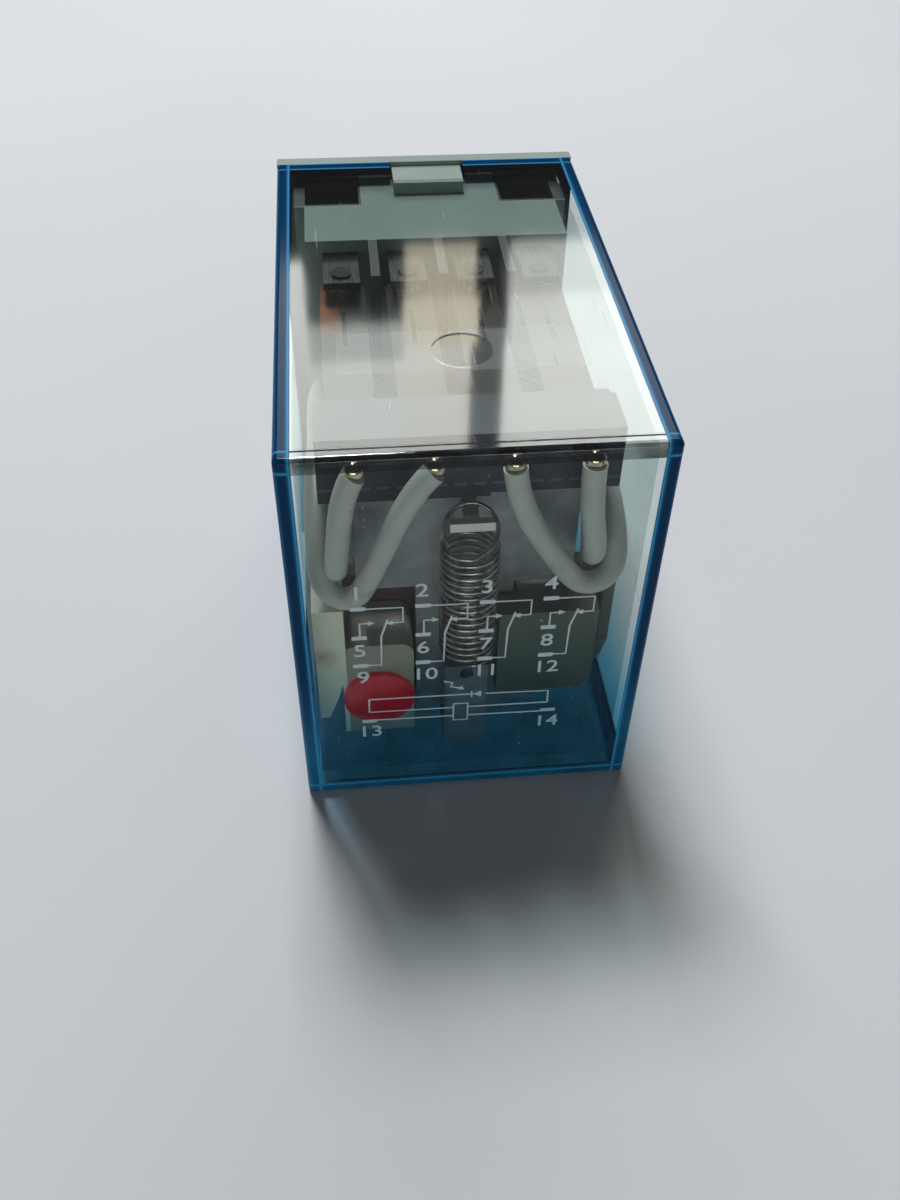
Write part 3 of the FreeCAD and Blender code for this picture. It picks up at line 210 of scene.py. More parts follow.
@dataclass(frozen=True)
class Moulding:
    """An injection-moulded plastic: even colour, a soft sheen and a slightly grained skin."""

    name: str
    shade: str
    deep: str
    roughness: float = 0.45
    mottle_mm: float = 2.5
    grain_mm: float = 0.12
    relief: float = 0.08
    ior: float = 1.52
    depth_glow: float = 0.0

    def build(self) -> bpy.types.Material:
        """Makes the material: two close shades by a broad noise, and a fine skin in the bump."""
        material, tree, place = new_material(self.name)
        broad = add_node(tree, "ShaderNodeTexNoise", {
            "Vector": place, "Scale": 1 / (self.mottle_mm * MM), "Detail": 3.0, "Roughness": 0.6})
        skin = add_node(tree, "ShaderNodeTexNoise", {
            "Vector": place, "Scale": 1 / (self.grain_mm * MM), "Detail": 2.0})
        tone = add_node(tree, "ShaderNodeMix", {
            0: broad.outputs["Fac"], 6: linear(self.deep), 7: linear(self.shade)},
            data_type="RGBA")
        gloss = add_node(tree, "ShaderNodeMapRange", {
            "Value": broad.outputs["Fac"], "To Min": self.roughness * 0.85,
            "To Max": self.roughness * 1.15})
        relief = add_node(tree, "ShaderNodeBump", {
            "Height": skin.outputs["Fac"], "Strength": self.relief, "Distance": 0.02 * MM})
        shader = add_node(tree, "ShaderNodeBsdfPrincipled", {
            "Base Color": tone.outputs[2], "Roughness": gloss.outputs[0], "IOR": self.ior,
            "Normal": relief.outputs[0]})
        if self.depth_glow:
            shader.inputs["Subsurface Weight"].default_value = self.depth_glow
            shader.inputs["Subsurface Scale"].default_value = 0.4 * MM
        close_material(tree, shader.outputs[0])
        return material


@dataclass(frozen=True)
class Metal:
    """A plated, rolled or drawn metal with a grain that runs one way."""

    name: str
    shade: str
    dull: str
    roughness: float = 0.3
    grain_mm: float = 0.15
    lay: Lay = Lay.EVEN
    relief: float = 0.15
    spot_mm: float = 1.6
    metallic: float = 1.0

    def build(self) -> bpy.types.Material:
        """Makes the material: stretched noise for the grain and broad spots where it dulled."""
        material, tree, place = new_material(self.name)
        turned = add_node(tree, "ShaderNodeMapping", {"Vector": place, "Scale": self.lay.value})
        grain = add_node(tree, "ShaderNodeTexNoise", {
            "Vector": turned.outputs[0], "Scale": 1 / (self.grain_mm * MM), "Detail": 3.0})
        spots = add_node(tree, "ShaderNodeTexNoise", {
            "Vector": place, "Scale": 1 / (self.spot_mm * MM), "Detail": 4.0, "Roughness": 0.65})
        mix = add_node(tree, "ShaderNodeMapRange", {
            "Value": spots.outputs["Fac"], "From Min": 0.35, "From Max": 0.68})
        tone = add_node(tree, "ShaderNodeMix", {
            0: mix.outputs[0], 6: linear(self.shade), 7: linear(self.dull)}, data_type="RGBA")
        gloss = add_node(tree, "ShaderNodeMapRange", {
            "Value": grain.outputs["Fac"], "From Min": 0.3, "From Max": 0.7,
            "To Min": self.roughness * 0.75, "To Max": self.roughness * 1.3})
        relief = add_node(tree, "ShaderNodeBump", {
            "Height": grain.outputs["Fac"], "Strength": self.relief, "Distance": 0.01 * MM})
        shader = add_node(tree, "ShaderNodeBsdfPrincipled", {
            "Base Color": tone.outputs[2], "Metallic": self.metallic,
            "Roughness": gloss.outputs[0], "Normal": relief.outputs[0]})
        close_material(tree, shader.outputs[0])
        return material


@dataclass(frozen=True)
class PaintedLightZone:
    """A finish whose colour turns to a second one inside a box of the part: painted shade or a
    painted highlight.
    """

    finish: Any
    painted_colour: str
    low_mm: Point
    high_mm: Point
    mirrored: bool = False

    def build(self) -> bpy.types.Material:
        """Makes the finish and mixes the painted shade or highlight colour in where the box is."""
        material = self.finish.build()
        tree = material.node_tree
        shader = next(n for n in tree.nodes if n.bl_idname == "ShaderNodeBsdfPrincipled")
        before = shader.inputs["Base Color"].links[0].from_socket
        place = next(n for n in tree.nodes if n.bl_idname == "ShaderNodeTexCoord")
        split = add_node(tree, "ShaderNodeSeparateXYZ", {0: place.outputs["Object"]})
        painted_box: bpy.types.NodeSocket | None = None
        for axis in range(3):
            reach = split.outputs[axis]
            if self.mirrored and axis == 0:
                reach = add_node(tree, "ShaderNodeMath", {0: reach},
                                 operation="ABSOLUTE").outputs[0]
            middle = (self.low_mm[axis] + self.high_mm[axis]) / 2 * MM
            half = (self.high_mm[axis] - self.low_mm[axis]) / 2 * MM
            part = add_node(tree, "ShaderNodeMath", {0: reach, 1: middle, 2: half},
                            operation="COMPARE").outputs[0]
            painted_box = part if painted_box is None else add_node(
                tree, "ShaderNodeMath", {0: painted_box, 1: part}, operation="MULTIPLY").outputs[0]
        mixed = add_node(tree, "ShaderNodeMix", {0: painted_box, 6: before, 7: linear(self.painted_colour)},
                         data_type="RGBA")
        tree.links.new(mixed.outputs[2], shader.inputs["Base Color"])
        return material


@dataclass(frozen=True)
class ZonedMoulding:
    """The coil former's nylon: cream at the lamp side, dark green-grey at the other."""

    name: str = "moulded nylon, cream to green-grey"
    guide: str = "#f7f1dd"
    holder: str = "#b3aa9c"
    pad: str = "#5c675f"
    stain: str = "#8a5a2c"
    cheek: str = "#4d3128"
    cheek_front_mm: float = -14.5
    guide_edge_mm: float = -7.7
    pad_edge_mm: float = 0.0
    stain_place_mm: Point = (-9.0, -18.7, 10.6)

    def build(self) -> bpy.types.Material:
        """Makes the material: shades by place, and one small amber stain."""
        material, tree, place = new_material(self.name)
        split = add_node(tree, "ShaderNodeSeparateXYZ", {0: place})
        across = split.outputs[0]
        outer = add_node(tree, "ShaderNodeMath", {0: across, 1: self.guide_edge_mm * MM},
                         operation="LESS_THAN")
        right = add_node(tree, "ShaderNodeMath", {0: across, 1: self.pad_edge_mm * MM},
                         operation="GREATER_THAN")
        left = add_node(tree, "ShaderNodeMix", {
            0: outer.outputs[0], 6: linear(self.holder), 7: linear(self.guide)}, data_type="RGBA")
        tone = add_node(tree, "ShaderNodeMix", {
            0: right.outputs[0], 6: left.outputs[2], 7: linear(self.pad)}, data_type="RGBA")
        behind = add_node(tree, "ShaderNodeMath", {0: split.outputs[1],
                                                   1: self.cheek_front_mm * MM},
                          operation="GREATER_THAN")
        span = add_node(tree, "ShaderNodeMath", {0: across}, operation="ABSOLUTE")
        middle = add_node(tree, "ShaderNodeMath", {0: span.outputs[0],
                                                   1: -self.guide_edge_mm * MM + 0.01 * MM},
                          operation="LESS_THAN")
        spool = add_node(tree, "ShaderNodeMath", {0: behind.outputs[0], 1: middle.outputs[0]},
                         operation="MULTIPLY")
        whole = add_node(tree, "ShaderNodeMix", {
            0: spool.outputs[0], 6: tone.outputs[2], 7: linear(self.cheek)}, data_type="RGBA")
        gap = add_node(tree, "ShaderNodeVectorMath", {
            0: place, 1: [v * MM for v in self.stain_place_mm]}, operation="DISTANCE")
        wander = add_node(tree, "ShaderNodeTexNoise", {"Vector": place, "Scale": 1 / (0.7 * MM)})
        mark = add_node(tree, "ShaderNodeMapRange", {
            "Value": gap.outputs["Value"], "From Min": 0.3 * MM, "From Max": 1.1 * MM,
            "To Min": 0.75, "To Max": 0.0})
        spread = add_node(tree, "ShaderNodeMath", {0: mark.outputs[0], 1: wander.outputs["Fac"]},
                          operation="MULTIPLY")
        colour = add_node(tree, "ShaderNodeMix", {
            0: spread.outputs[0], 6: whole.outputs[2], 7: linear(self.stain)}, data_type="RGBA")
        skin = add_node(tree, "ShaderNodeTexNoise", {"Vector": place, "Scale": 1 / (0.15 * MM)})
        relief = add_node(tree, "ShaderNodeBump", {
            "Height": skin.outputs["Fac"], "Strength": 0.1, "Distance": 0.02 * MM})
        shader = add_node(tree, "ShaderNodeBsdfPrincipled", {
            "Base Color": colour.outputs[2], "Roughness": 0.42, "IOR": 1.53,
            "Subsurface Weight": 0.15, "Subsurface Scale": 0.5 * MM,
            "Normal": relief.outputs[0]})
        close_material(tree, shader.outputs[0])
        return material


@dataclass(frozen=True)
class CarrierPlastic:
    """The moving carrier's dark phenolic, with a faint lighter moulding line across its front."""

    name: str = "moulded phenolic, dark navy"
    shade: str = "#23273c"
    deep: str = "#171a28"
    line: str = "#4a5275"
    line_height_mm: float = 22.75
    dash_mm: float = 0.55

    def build(self) -> bpy.types.Material:
        """Makes the material: mottled navy, and a broken line at one height."""
        material, tree, place = new_material(self.name)
        split = add_node(tree, "ShaderNodeSeparateXYZ", {0: place})
        broad = add_node(tree, "ShaderNodeTexNoise", {
            "Vector": place, "Scale": 1 / (1.8 * MM), "Detail": 4.0})
        tone = add_node(tree, "ShaderNodeMix", {
            0: broad.outputs["Fac"], 6: linear(self.deep), 7: linear(self.shade)},
            data_type="RGBA")
        off = add_node(tree, "ShaderNodeMath", {
            0: split.outputs[2], 1: self.line_height_mm * MM, 2: 0.09 * MM}, operation="COMPARE")
        phase = add_node(tree, "ShaderNodeMath", {
            0: split.outputs[0], 1: self.dash_mm * MM}, operation="PINGPONG")
        dash = add_node(tree, "ShaderNodeMath", {
            0: phase.outputs[0], 1: self.dash_mm * 0.35 * MM}, operation="GREATER_THAN")
        mark = add_node(tree, "ShaderNodeMath", {0: off.outputs[0], 1: dash.outputs[0]},
                        operation="MULTIPLY")
        colour = add_node(tree, "ShaderNodeMix", {
            0: mark.outputs[0], 6: tone.outputs[2], 7: linear(self.line)}, data_type="RGBA")
        skin = add_node(tree, "ShaderNodeTexNoise", {"Vector": place, "Scale": 1 / (0.1 * MM)})
        relief = add_node(tree, "ShaderNodeBump", {
            "Height": skin.outputs["Fac"], "Strength": 0.12, "Distance": 0.02 * MM})
        shader = add_node(tree, "ShaderNodeBsdfPrincipled", {
            "Base Color": colour.outputs[2], "Roughness": 0.38, "IOR": 1.55,
            "Normal": relief.outputs[0]})
        close_material(tree, shader.outputs[0])
        return material


@dataclass(frozen=True)
class WoundWire:
    """Enamelled copper wire laid in turns: fine ridges with a lacquer gloss."""

    name: str = "enamelled copper wire, wound"
    shade: str = "#b0602a"
    deep: str = "#6d3114"
    turn_mm: float = 0.16   # the real wire is half as thick, too fine to show

    def build(self) -> bpy.types.Material:
        """Makes the material: one ridge for each turn, along the depth."""
        material, tree, place = new_material(self.name)
        ridge = add_node(tree, "ShaderNodeTexWave", {
            "Vector": place, "Scale": 1 / (self.turn_mm * MM) / 20, "Distortion": 0.4},
            bands_direction="Y", wave_profile="SIN")
        broad = add_node(tree, "ShaderNodeTexNoise", {"Vector": place, "Scale": 1 / (1.5 * MM)})
        part = add_node(tree, "ShaderNodeMath", {0: ridge.outputs["Fac"],
                                                 1: broad.outputs["Fac"]}, operation="MULTIPLY")
        tone = add_node(tree, "ShaderNodeMix", {
            0: part.outputs[0], 6: linear(self.deep), 7: linear(self.shade)}, data_type="RGBA")
        relief = add_node(tree, "ShaderNodeBump", {
            "Height": ridge.outputs["Fac"], "Strength": 0.6, "Distance": 0.05 * MM})
        shader = add_node(tree, "ShaderNodeBsdfPrincipled", {
            "Base Color": tone.outputs[2], "Metallic": 0.75, "Roughness": 0.28,
            "Coat Weight": 0.5, "Coat Roughness": 0.1, "Normal": relief.outputs[0]})
        close_material(tree, shader.outputs[0])
        return material


@dataclass(frozen=True)
class LampLens:
    """A cast epoxy lamp body: deep red, glossy, lighter where it is thin."""

    name: str = "cast epoxy, clear red"
    shade: str = "#e3162a"
    deep: str = "#a00c1c"

    def build(self) -> bpy.types.Material:
        """Makes the material: red that deepens towards the rim, under a wet gloss."""
        material, tree, place = new_material(self.name)
        rim = add_node(tree, "ShaderNodeLayerWeight", {"Blend": 0.35})
        cloud = add_node(tree, "ShaderNodeTexNoise", {"Vector": place, "Scale": 1 / (1.2 * MM)})
        part = add_node(tree, "ShaderNodeMath", {0: rim.outputs["Facing"],
                                                 1: cloud.outputs["Fac"]}, operation="MULTIPLY")
        tone = add_node(tree, "ShaderNodeMix", {
            0: part.outputs[0], 6: linear(self.shade), 7: linear(self.deep)}, data_type="RGBA")
        # The faint emission is a painted glow for light scattered in the red epoxy.
        shader = add_node(tree, "ShaderNodeBsdfPrincipled", {
            "Base Color": tone.outputs[2], "Roughness": 0.14, "IOR": 1.54,
            "Subsurface Weight": 0.45, "Subsurface Scale": 1.2 * MM,
            "Subsurface Radius": (1.0, 0.15, 0.15), "Coat Weight": 0.4, "Coat Roughness": 0.06,
            "Emission Color": linear(self.shade), "Emission Strength": 0.10})
        close_material(tree, shader.outputs[0])
        return material


@dataclass(frozen=True)
class ClearShell:
    """Polycarbonate with a blue tint: clear walls, and edge bands painted deep blue with painted
    highlight lines where the eye looks along a wall.
    """

    name: str = "polycarbonate, moulded clear blue"
    half_width_mm: float = 10.75
    front_mm: float = -21.2
    rear_mm: float = 13.8
    height_mm: float = 28.0
    wall_mm: float = 1.0
    pane_high: str = "#eff4f3"
    pane_low: str = "#84c4dc"
    edge_deep: str = "#0a3557"
    edge_mid: str = "#175a8c"
    edge_highlight: str = "#3f9cc8"
    edge_low: str = "#2fa3d4"
    # The lip colour is a painted reflection: a dark strip along the top of the front wall.
    lip: str = "#262a2c"
    panel_half_mm: float = 7.2
    panel_depth_mm: float = 9.7
    panel_deep_mm: float = 4.3
    panel_milk: float = 0.09
    sheen: float = 1.25      # the second skin of each wall shines too
    side_sheen: float = 0.35  # the side and front walls show less of it than the top
    roughness: float = 0.05
    ior: float = 1.58
    haze: float = 0.004
    foot: str = "#34b4dc"
    sump: str = "#37849e"
    foot_glow: float = 0.6   # painted glow at the feet of the side walls, for light piped along them
    foot_part: float = 0.42
    foot_low_mm: float = 1.0
    foot_high_mm: float = 13.0
    sump_glow: float = 0.3
    sump_part: float = 0.7
    sump_high_mm: float = 1.1
    edge_cover: float = 0.93
    blue_part: float = 0.5   # how far the painted lighter blue low down takes over the edge stripes
    blue_low_mm: float = 0.5
    blue_high_mm: float = 14.0
    strip_line_mm: float = 0.78

    def build(self) -> bpy.types.Material:
        """Makes the material.

        A point within one wall of two outer faces is in an edge band, painted striped blue:
        painted shade and painted highlight lines for the look along the wall.
        Elsewhere the wall is a see-through pane with a thin gloss by Fresnel, a faintly milky
        rectangle round the gate mark, fine scuffs, and a painted blue glow low in the walls.

        Returns:
            The material of the case.
        """
        material, tree, place = new_material(self.name)
        split = add_node(tree, "ShaderNodeSeparateXYZ", {0: place})
        side = add_node(tree, "ShaderNodeMath", {0: split.outputs[0]}, operation="ABSOLUTE")
        gaps = {
            "side": add_node(tree, "ShaderNodeMath", {
                0: self.half_width_mm * MM, 1: side.outputs[0]}, operation="SUBTRACT"),
            "front": add_node(tree, "ShaderNodeMath", {
                0: split.outputs[1], 1: self.front_mm * MM}, operation="SUBTRACT"),
        }
        above = add_node(tree, "ShaderNodeMath", {0: self.height_mm * MM, 1: split.outputs[2]},
                         operation="SUBTRACT")
        gaps["floor"] = add_node(tree, "ShaderNodeMath", {0: above.outputs[0],
                                                          1: split.outputs[2]},
                                 operation="MINIMUM")
        near = {}
        deep = None
        total = None
        gaps["rear"] = add_node(tree, "ShaderNodeMath", {0: self.rear_mm * MM,
                                                         1: split.outputs[1]},
                                operation="SUBTRACT")
        for label, gap in gaps.items():
            near[label] = add_node(tree, "ShaderNodeMapRange", {
                "Value": gap.outputs[0], "From Min": self.wall_mm * 0.90 * MM,
                "From Max": self.wall_mm * 0.97 * MM, "To Min": 1.0, "To Max": 0.0},
                interpolation_type="SMOOTHSTEP")
            run = add_node(tree, "ShaderNodeMath", {0: near[label].outputs[0],
                                                    1: gap.outputs[0]}, operation="MULTIPLY")
            deep = run if deep is None else add_node(
                tree, "ShaderNodeMath", {0: deep.outputs[0], 1: run.outputs[0]},
                operation="MAXIMUM")
            total = near[label] if total is None else add_node(
                tree, "ShaderNodeMath", {0: total.outputs[0], 1: near[label].outputs[0]},
                operation="ADD")
        pair = add_node(tree, "ShaderNodeMath", {0: total.outputs[0], 1: 1.0},
                        operation="SUBTRACT", use_clamp=True)
        upper = add_node(tree, "ShaderNodeMath", {0: split.outputs[2],
                                                  1: self.height_mm / 2 * MM},
                         operation="GREATER_THAN")
        lip = add_node(tree, "ShaderNodeMath", {0: near["front"].outputs[0],
                                                1: near["floor"].outputs[0]},
                       operation="MULTIPLY")
        lip_high = add_node(tree, "ShaderNodeMath", {0: lip.outputs[0], 1: upper.outputs[0]},
                            operation="MULTIPLY")
        off_side = add_node(tree, "ShaderNodeMath", {0: 1.0, 1: near["side"].outputs[0]},
                            operation="SUBTRACT")
        clear_lip = add_node(tree, "ShaderNodeMath", {0: lip_high.outputs[0],
                                                      1: off_side.outputs[0]},
                             operation="MULTIPLY")
        flat_top = add_node(tree, "ShaderNodeMath", {0: gaps["floor"].outputs[0],
                                                     1: 0.04 * MM}, operation="LESS_THAN")
        # On the top the lip keeps a thin line; on the front it is a dark, broken strip, a painted
        # reflection of the dark inside.
        line = add_node(tree, "ShaderNodeMath", {0: gaps["front"].outputs[0],
                                                 1: self.strip_line_mm * MM, 2: 0.07 * MM},
                        operation="COMPARE")
        broken = add_node(tree, "ShaderNodeTexNoise", {
            "Vector": place, "Scale": 1 / (2.6 * MM), "Detail": 1.0, "Roughness": 0.5})
        patchy = add_node(tree, "ShaderNodeMapRange", {
            "Value": broken.outputs["Fac"], "From Min": 0.38, "From Max": 0.56,
            "To Min": 0.85, "To Max": 0.55})
        strip = add_node(tree, "ShaderNodeMix", {
            0: flat_top.outputs[0], 2: patchy.outputs[0], 3: line.outputs[0]},
            data_type="FLOAT")
        kept = add_node(tree, "ShaderNodeMix", {
            0: clear_lip.outputs[0], 2: 1.0, 3: strip.outputs[0]}, data_type="FLOAT")
        band = add_node(tree, "ShaderNodeMath", {0: pair.outputs[0], 1: kept.outputs[0]},
                        operation="MULTIPLY")
        # Painted shade and painted highlights: navy stripes and pale glint lines across the band.
        ratio = add_node(tree, "ShaderNodeMath", {0: deep.outputs[0], 1: self.wall_mm * MM},
                         operation="DIVIDE", use_clamp=True)
        stripes = add_node(tree, "ShaderNodeValToRGB", {0: ratio.outputs[0]})
        ramp = stripes.color_ramp
        ramp.elements[0].position, ramp.elements[0].color = 0.0, linear(self.edge_highlight)
        ramp.elements[1].position, ramp.elements[1].color = 1.0, linear(self.edge_mid)
        for spot, code in ((0.10, self.edge_mid), (0.24, self.edge_deep), (0.62, self.edge_deep),
                           (0.74, self.edge_mid), (0.84, self.edge_highlight), (0.91, self.edge_deep)):
            ramp.elements.new(spot).color = linear(code)
        low = add_node(tree, "ShaderNodeMapRange", {
            "Value": split.outputs[2], "From Min": self.blue_low_mm * MM,
            "From Max": self.blue_high_mm * MM, "To Min": self.blue_part, "To Max": 0.0},
            interpolation_type="SMOOTHSTEP")
        streak = add_node(tree, "ShaderNodeTexNoise", {"Vector": place, "Scale": 1 / (2.2 * MM)})
        part = add_node(tree, "ShaderNodeMath", {0: low.outputs[0], 1: streak.outputs["Fac"]},
                        operation="MULTIPLY")
        # Painted light: the edge stripes turn a lighter blue towards the bottom.
        lit_low_stripes = add_node(tree, "ShaderNodeMix", {
            0: part.outputs[0], 6: stripes.outputs["Color"], 7: linear(self.edge_low)},
            data_type="RGBA")
        edge = add_node(tree, "ShaderNodeMix", {
            0: clear_lip.outputs[0], 6: lit_low_stripes.outputs[2], 7: linear(self.lip)},
            data_type="RGBA")
        rim = add_node(tree, "ShaderNodeBsdfPrincipled", {
            "Base Color": edge.outputs[2], "Roughness": 0.1, "IOR": 1.58,
            "Specular IOR Level": 0.05})
        glimpse = add_node(tree, "ShaderNodeBsdfTransparent", {0: edge.outputs[2]})
        solid = add_node(tree, "ShaderNodeMixShader", {
            0: self.edge_cover, 1: glimpse.outputs[0], 2: rim.outputs[0]})

        tint = add_node(tree, "ShaderNodeMix", {
            0: low.outputs[0], 6: linear(self.pane_high), 7: linear(self.pane_low)},
            data_type="RGBA")
        clear = add_node(tree, "ShaderNodeBsdfTransparent", {0: tint.outputs[2]})
        haze = add_node(tree, "ShaderNodeTexNoise", {
            "Vector": place, "Scale": 1 / (5 * MM), "Detail": 5.0})
        gloss = add_node(tree, "ShaderNodeMapRange", {
            "Value": haze.outputs["Fac"], "To Min": self.roughness * 0.6,
            "To Max": self.roughness * 1.6})
        shine = add_node(tree, "ShaderNodeBsdfGlossy", {
            "Color": linear("#ffffff"), "Roughness": gloss.outputs[0]})
        fresnel = add_node(tree, "ShaderNodeFresnel", {"IOR": self.ior})
        shown = add_node(tree, "ShaderNodeNewGeometry")
        facing = add_node(tree, "ShaderNodeMath", {0: 1.0, 1: shown.outputs["Backfacing"]},
                          operation="SUBTRACT")
        amount = add_node(tree, "ShaderNodeMath", {0: fresnel.outputs[0], 1: self.sheen},
                          operation="MULTIPLY")
        top_skin = add_node(tree, "ShaderNodeMath", {0: gaps["floor"].outputs[0],
                                                     1: 0.5 * MM}, operation="LESS_THAN")
        skins = add_node(tree, "ShaderNodeMix", {
            0: top_skin.outputs[0], 2: self.side_sheen, 3: 1.0}, data_type="FLOAT")
        turned = add_node(tree, "ShaderNodeMath", {0: amount.outputs[0], 1: skins.outputs[0]},
                          operation="MULTIPLY")
        outer = add_node(tree, "ShaderNodeMath", {0: turned.outputs[0], 1: facing.outputs[0]},
                         operation="MULTIPLY", use_clamp=True)
        glassy = add_node(tree, "ShaderNodeMixShader", {
            0: outer.outputs[0], 1: clear.outputs[0], 2: shine.outputs[0]})
        # A faintly milky rectangle round the gate mark, on the top.
        in_width = add_node(tree, "ShaderNodeMath", {0: side.outputs[0],
                                                     1: self.panel_half_mm * MM},
                            operation="LESS_THAN")
        in_depth = add_node(tree, "ShaderNodeMath", {
            0: gaps["front"].outputs[0], 1: self.panel_depth_mm * MM,
            2: self.panel_deep_mm / 2 * MM}, operation="COMPARE")
        on_top = add_node(tree, "ShaderNodeMath", {0: flat_top.outputs[0],
                                                   1: upper.outputs[0]}, operation="MULTIPLY")
        boxed = add_node(tree, "ShaderNodeMath", {0: in_width.outputs[0],
                                                  1: in_depth.outputs[0]}, operation="MULTIPLY")
        milky = add_node(tree, "ShaderNodeMath", {0: boxed.outputs[0], 1: on_top.outputs[0]},
                         operation="MULTIPLY")
        scuffs = add_node(tree, "ShaderNodeMapping", {
            "Vector": place, "Rotation": (0.0, 0.0, 0.35), "Scale": (1.0, 0.05, 1.0)})
        scuff = add_node(tree, "ShaderNodeTexNoise", {
            "Vector": scuffs.outputs[0], "Scale": 1 / (0.25 * MM), "Detail": 2.0})
        fine = add_node(tree, "ShaderNodeMapRange", {
            "Value": scuff.outputs["Fac"], "From Min": 0.70, "From Max": 0.76,
            "To Min": 0.0, "To Max": 0.22})
        cloudy = add_node(tree, "ShaderNodeMath", {
            0: milky.outputs[0], 1: self.panel_milk, 2: self.haze}, operation="MULTIPLY_ADD")
        haze_part = add_node(tree, "ShaderNodeMath", {0: fine.outputs[0],
                                                      1: cloudy.outputs[0]}, operation="ADD")
        milk = add_node(tree, "ShaderNodeBsdfDiffuse", {"Color": linear("#e9eef0")})
        pane = add_node(tree, "ShaderNodeMixShader", {
            0: haze_part.outputs[0], 1: glassy.outputs[0], 2: milk.outputs[0]})
        # Painted glow for light caught in the walls: cyan at the feet of the sides, teal in the
        # lower wall.
        foot_part = add_node(tree, "ShaderNodeMapRange", {
            "Value": split.outputs[2], "From Min": self.foot_low_mm * MM,
            "From Max": self.foot_high_mm * MM, "To Min": self.foot_part, "To Max": 0.0},
            interpolation_type="SMOOTHSTEP")
        foot_side = add_node(tree, "ShaderNodeMath", {0: near["side"].outputs[0],
                                                      1: foot_part.outputs[0]},
                             operation="MULTIPLY")
        foot = add_node(tree, "ShaderNodeEmission", {
            "Color": linear(self.foot), "Strength": self.foot_glow})
        footed = add_node(tree, "ShaderNodeMixShader", {
            0: foot_side.outputs[0], 1: pane.outputs[0], 2: foot.outputs[0]})
        in_sump = add_node(tree, "ShaderNodeMath", {0: split.outputs[2],
                                                    1: self.sump_high_mm * MM},
                           operation="LESS_THAN")
        sump_streak = add_node(tree, "ShaderNodeMath", {0: in_sump.outputs[0],
                                                        1: self.sump_part},
                               operation="MULTIPLY")
        sump_part = add_node(tree, "ShaderNodeMath", {0: sump_streak.outputs[0],
                                                      1: streak.outputs["Fac"]},
                             operation="MULTIPLY")
        sump = add_node(tree, "ShaderNodeEmission", {
            "Color": linear(self.sump), "Strength": self.sump_glow})
        lowest = add_node(tree, "ShaderNodeMixShader", {
            0: sump_part.outputs[0], 1: footed.outputs[0], 2: sump.outputs[0]})
        whole = add_node(tree, "ShaderNodeMixShader", {
            0: band.outputs[0], 1: lowest.outputs[0], 2: solid.outputs[0]})
        close_material(tree, whole.outputs[0])
        return material


@dataclass(frozen=True)
class PrintInk:
    """Pad-printed ink: a thin pale film with small gaps."""

    name: str = "pad-printed ink, pale grey"
    shade: str = "#cfd8da"
    worn: str = "#9fb0b6"

    def build(self) -> bpy.types.Material:
        """Makes the material: a matt pale film, thinner in places, with a faint painted glow."""
        material, tree, place = new_material(self.name)
        wear = add_node(tree, "ShaderNodeTexNoise", {
            "Vector": place, "Scale": 1 / (0.4 * MM), "Detail": 4.0})
        tone = add_node(tree, "ShaderNodeMix", {
            0: wear.outputs["Fac"], 6: linear(self.shade), 7: linear(self.worn)},
            data_type="RGBA")
        # The ink's faint emission is a painted glow that lifts the print.
        shader = add_node(tree, "ShaderNodeBsdfPrincipled", {
            "Base Color": tone.outputs[2], "Roughness": 0.6,
            "Emission Color": tone.outputs[2], "Emission Strength": 0.12})
        close_material(tree, shader.outputs[0])
        return material


@dataclass(frozen=True)
class Paper:
    """Uncoated paper: matt, cool white, with a fine fibre tooth."""

    name: str = "uncoated paper"
    shade: str = "#d8dadb"
    deep: str = "#c8cdd0"
    tooth_mm: float = 0.5

    def build(self) -> bpy.types.Material:
        """Makes the material: two close shades, broad waves and a fibre bump."""
        material, tree, place = new_material(self.name)
        broad = add_node(tree, "ShaderNodeTexNoise", {"Vector": place, "Scale": 1 / (90 * MM)})
        fibre = add_node(tree, "ShaderNodeTexNoise", {
            "Vector": place, "Scale": 1 / (self.tooth_mm * MM), "Detail": 4.0})
        tone = add_node(tree, "ShaderNodeMix", {
            0: broad.outputs["Fac"], 6: linear(self.deep), 7: linear(self.shade)},
            data_type="RGBA")
        relief = add_node(tree, "ShaderNodeBump", {
            "Height": fibre.outputs["Fac"], "Strength": 0.25, "Distance": 0.05 * MM})
        shader = add_node(tree, "ShaderNodeBsdfPrincipled", {
            "Base Color": tone.outputs[2], "Roughness": 0.9, "Normal": relief.outputs[0]})
        close_material(tree, shader.outputs[0])
        return material


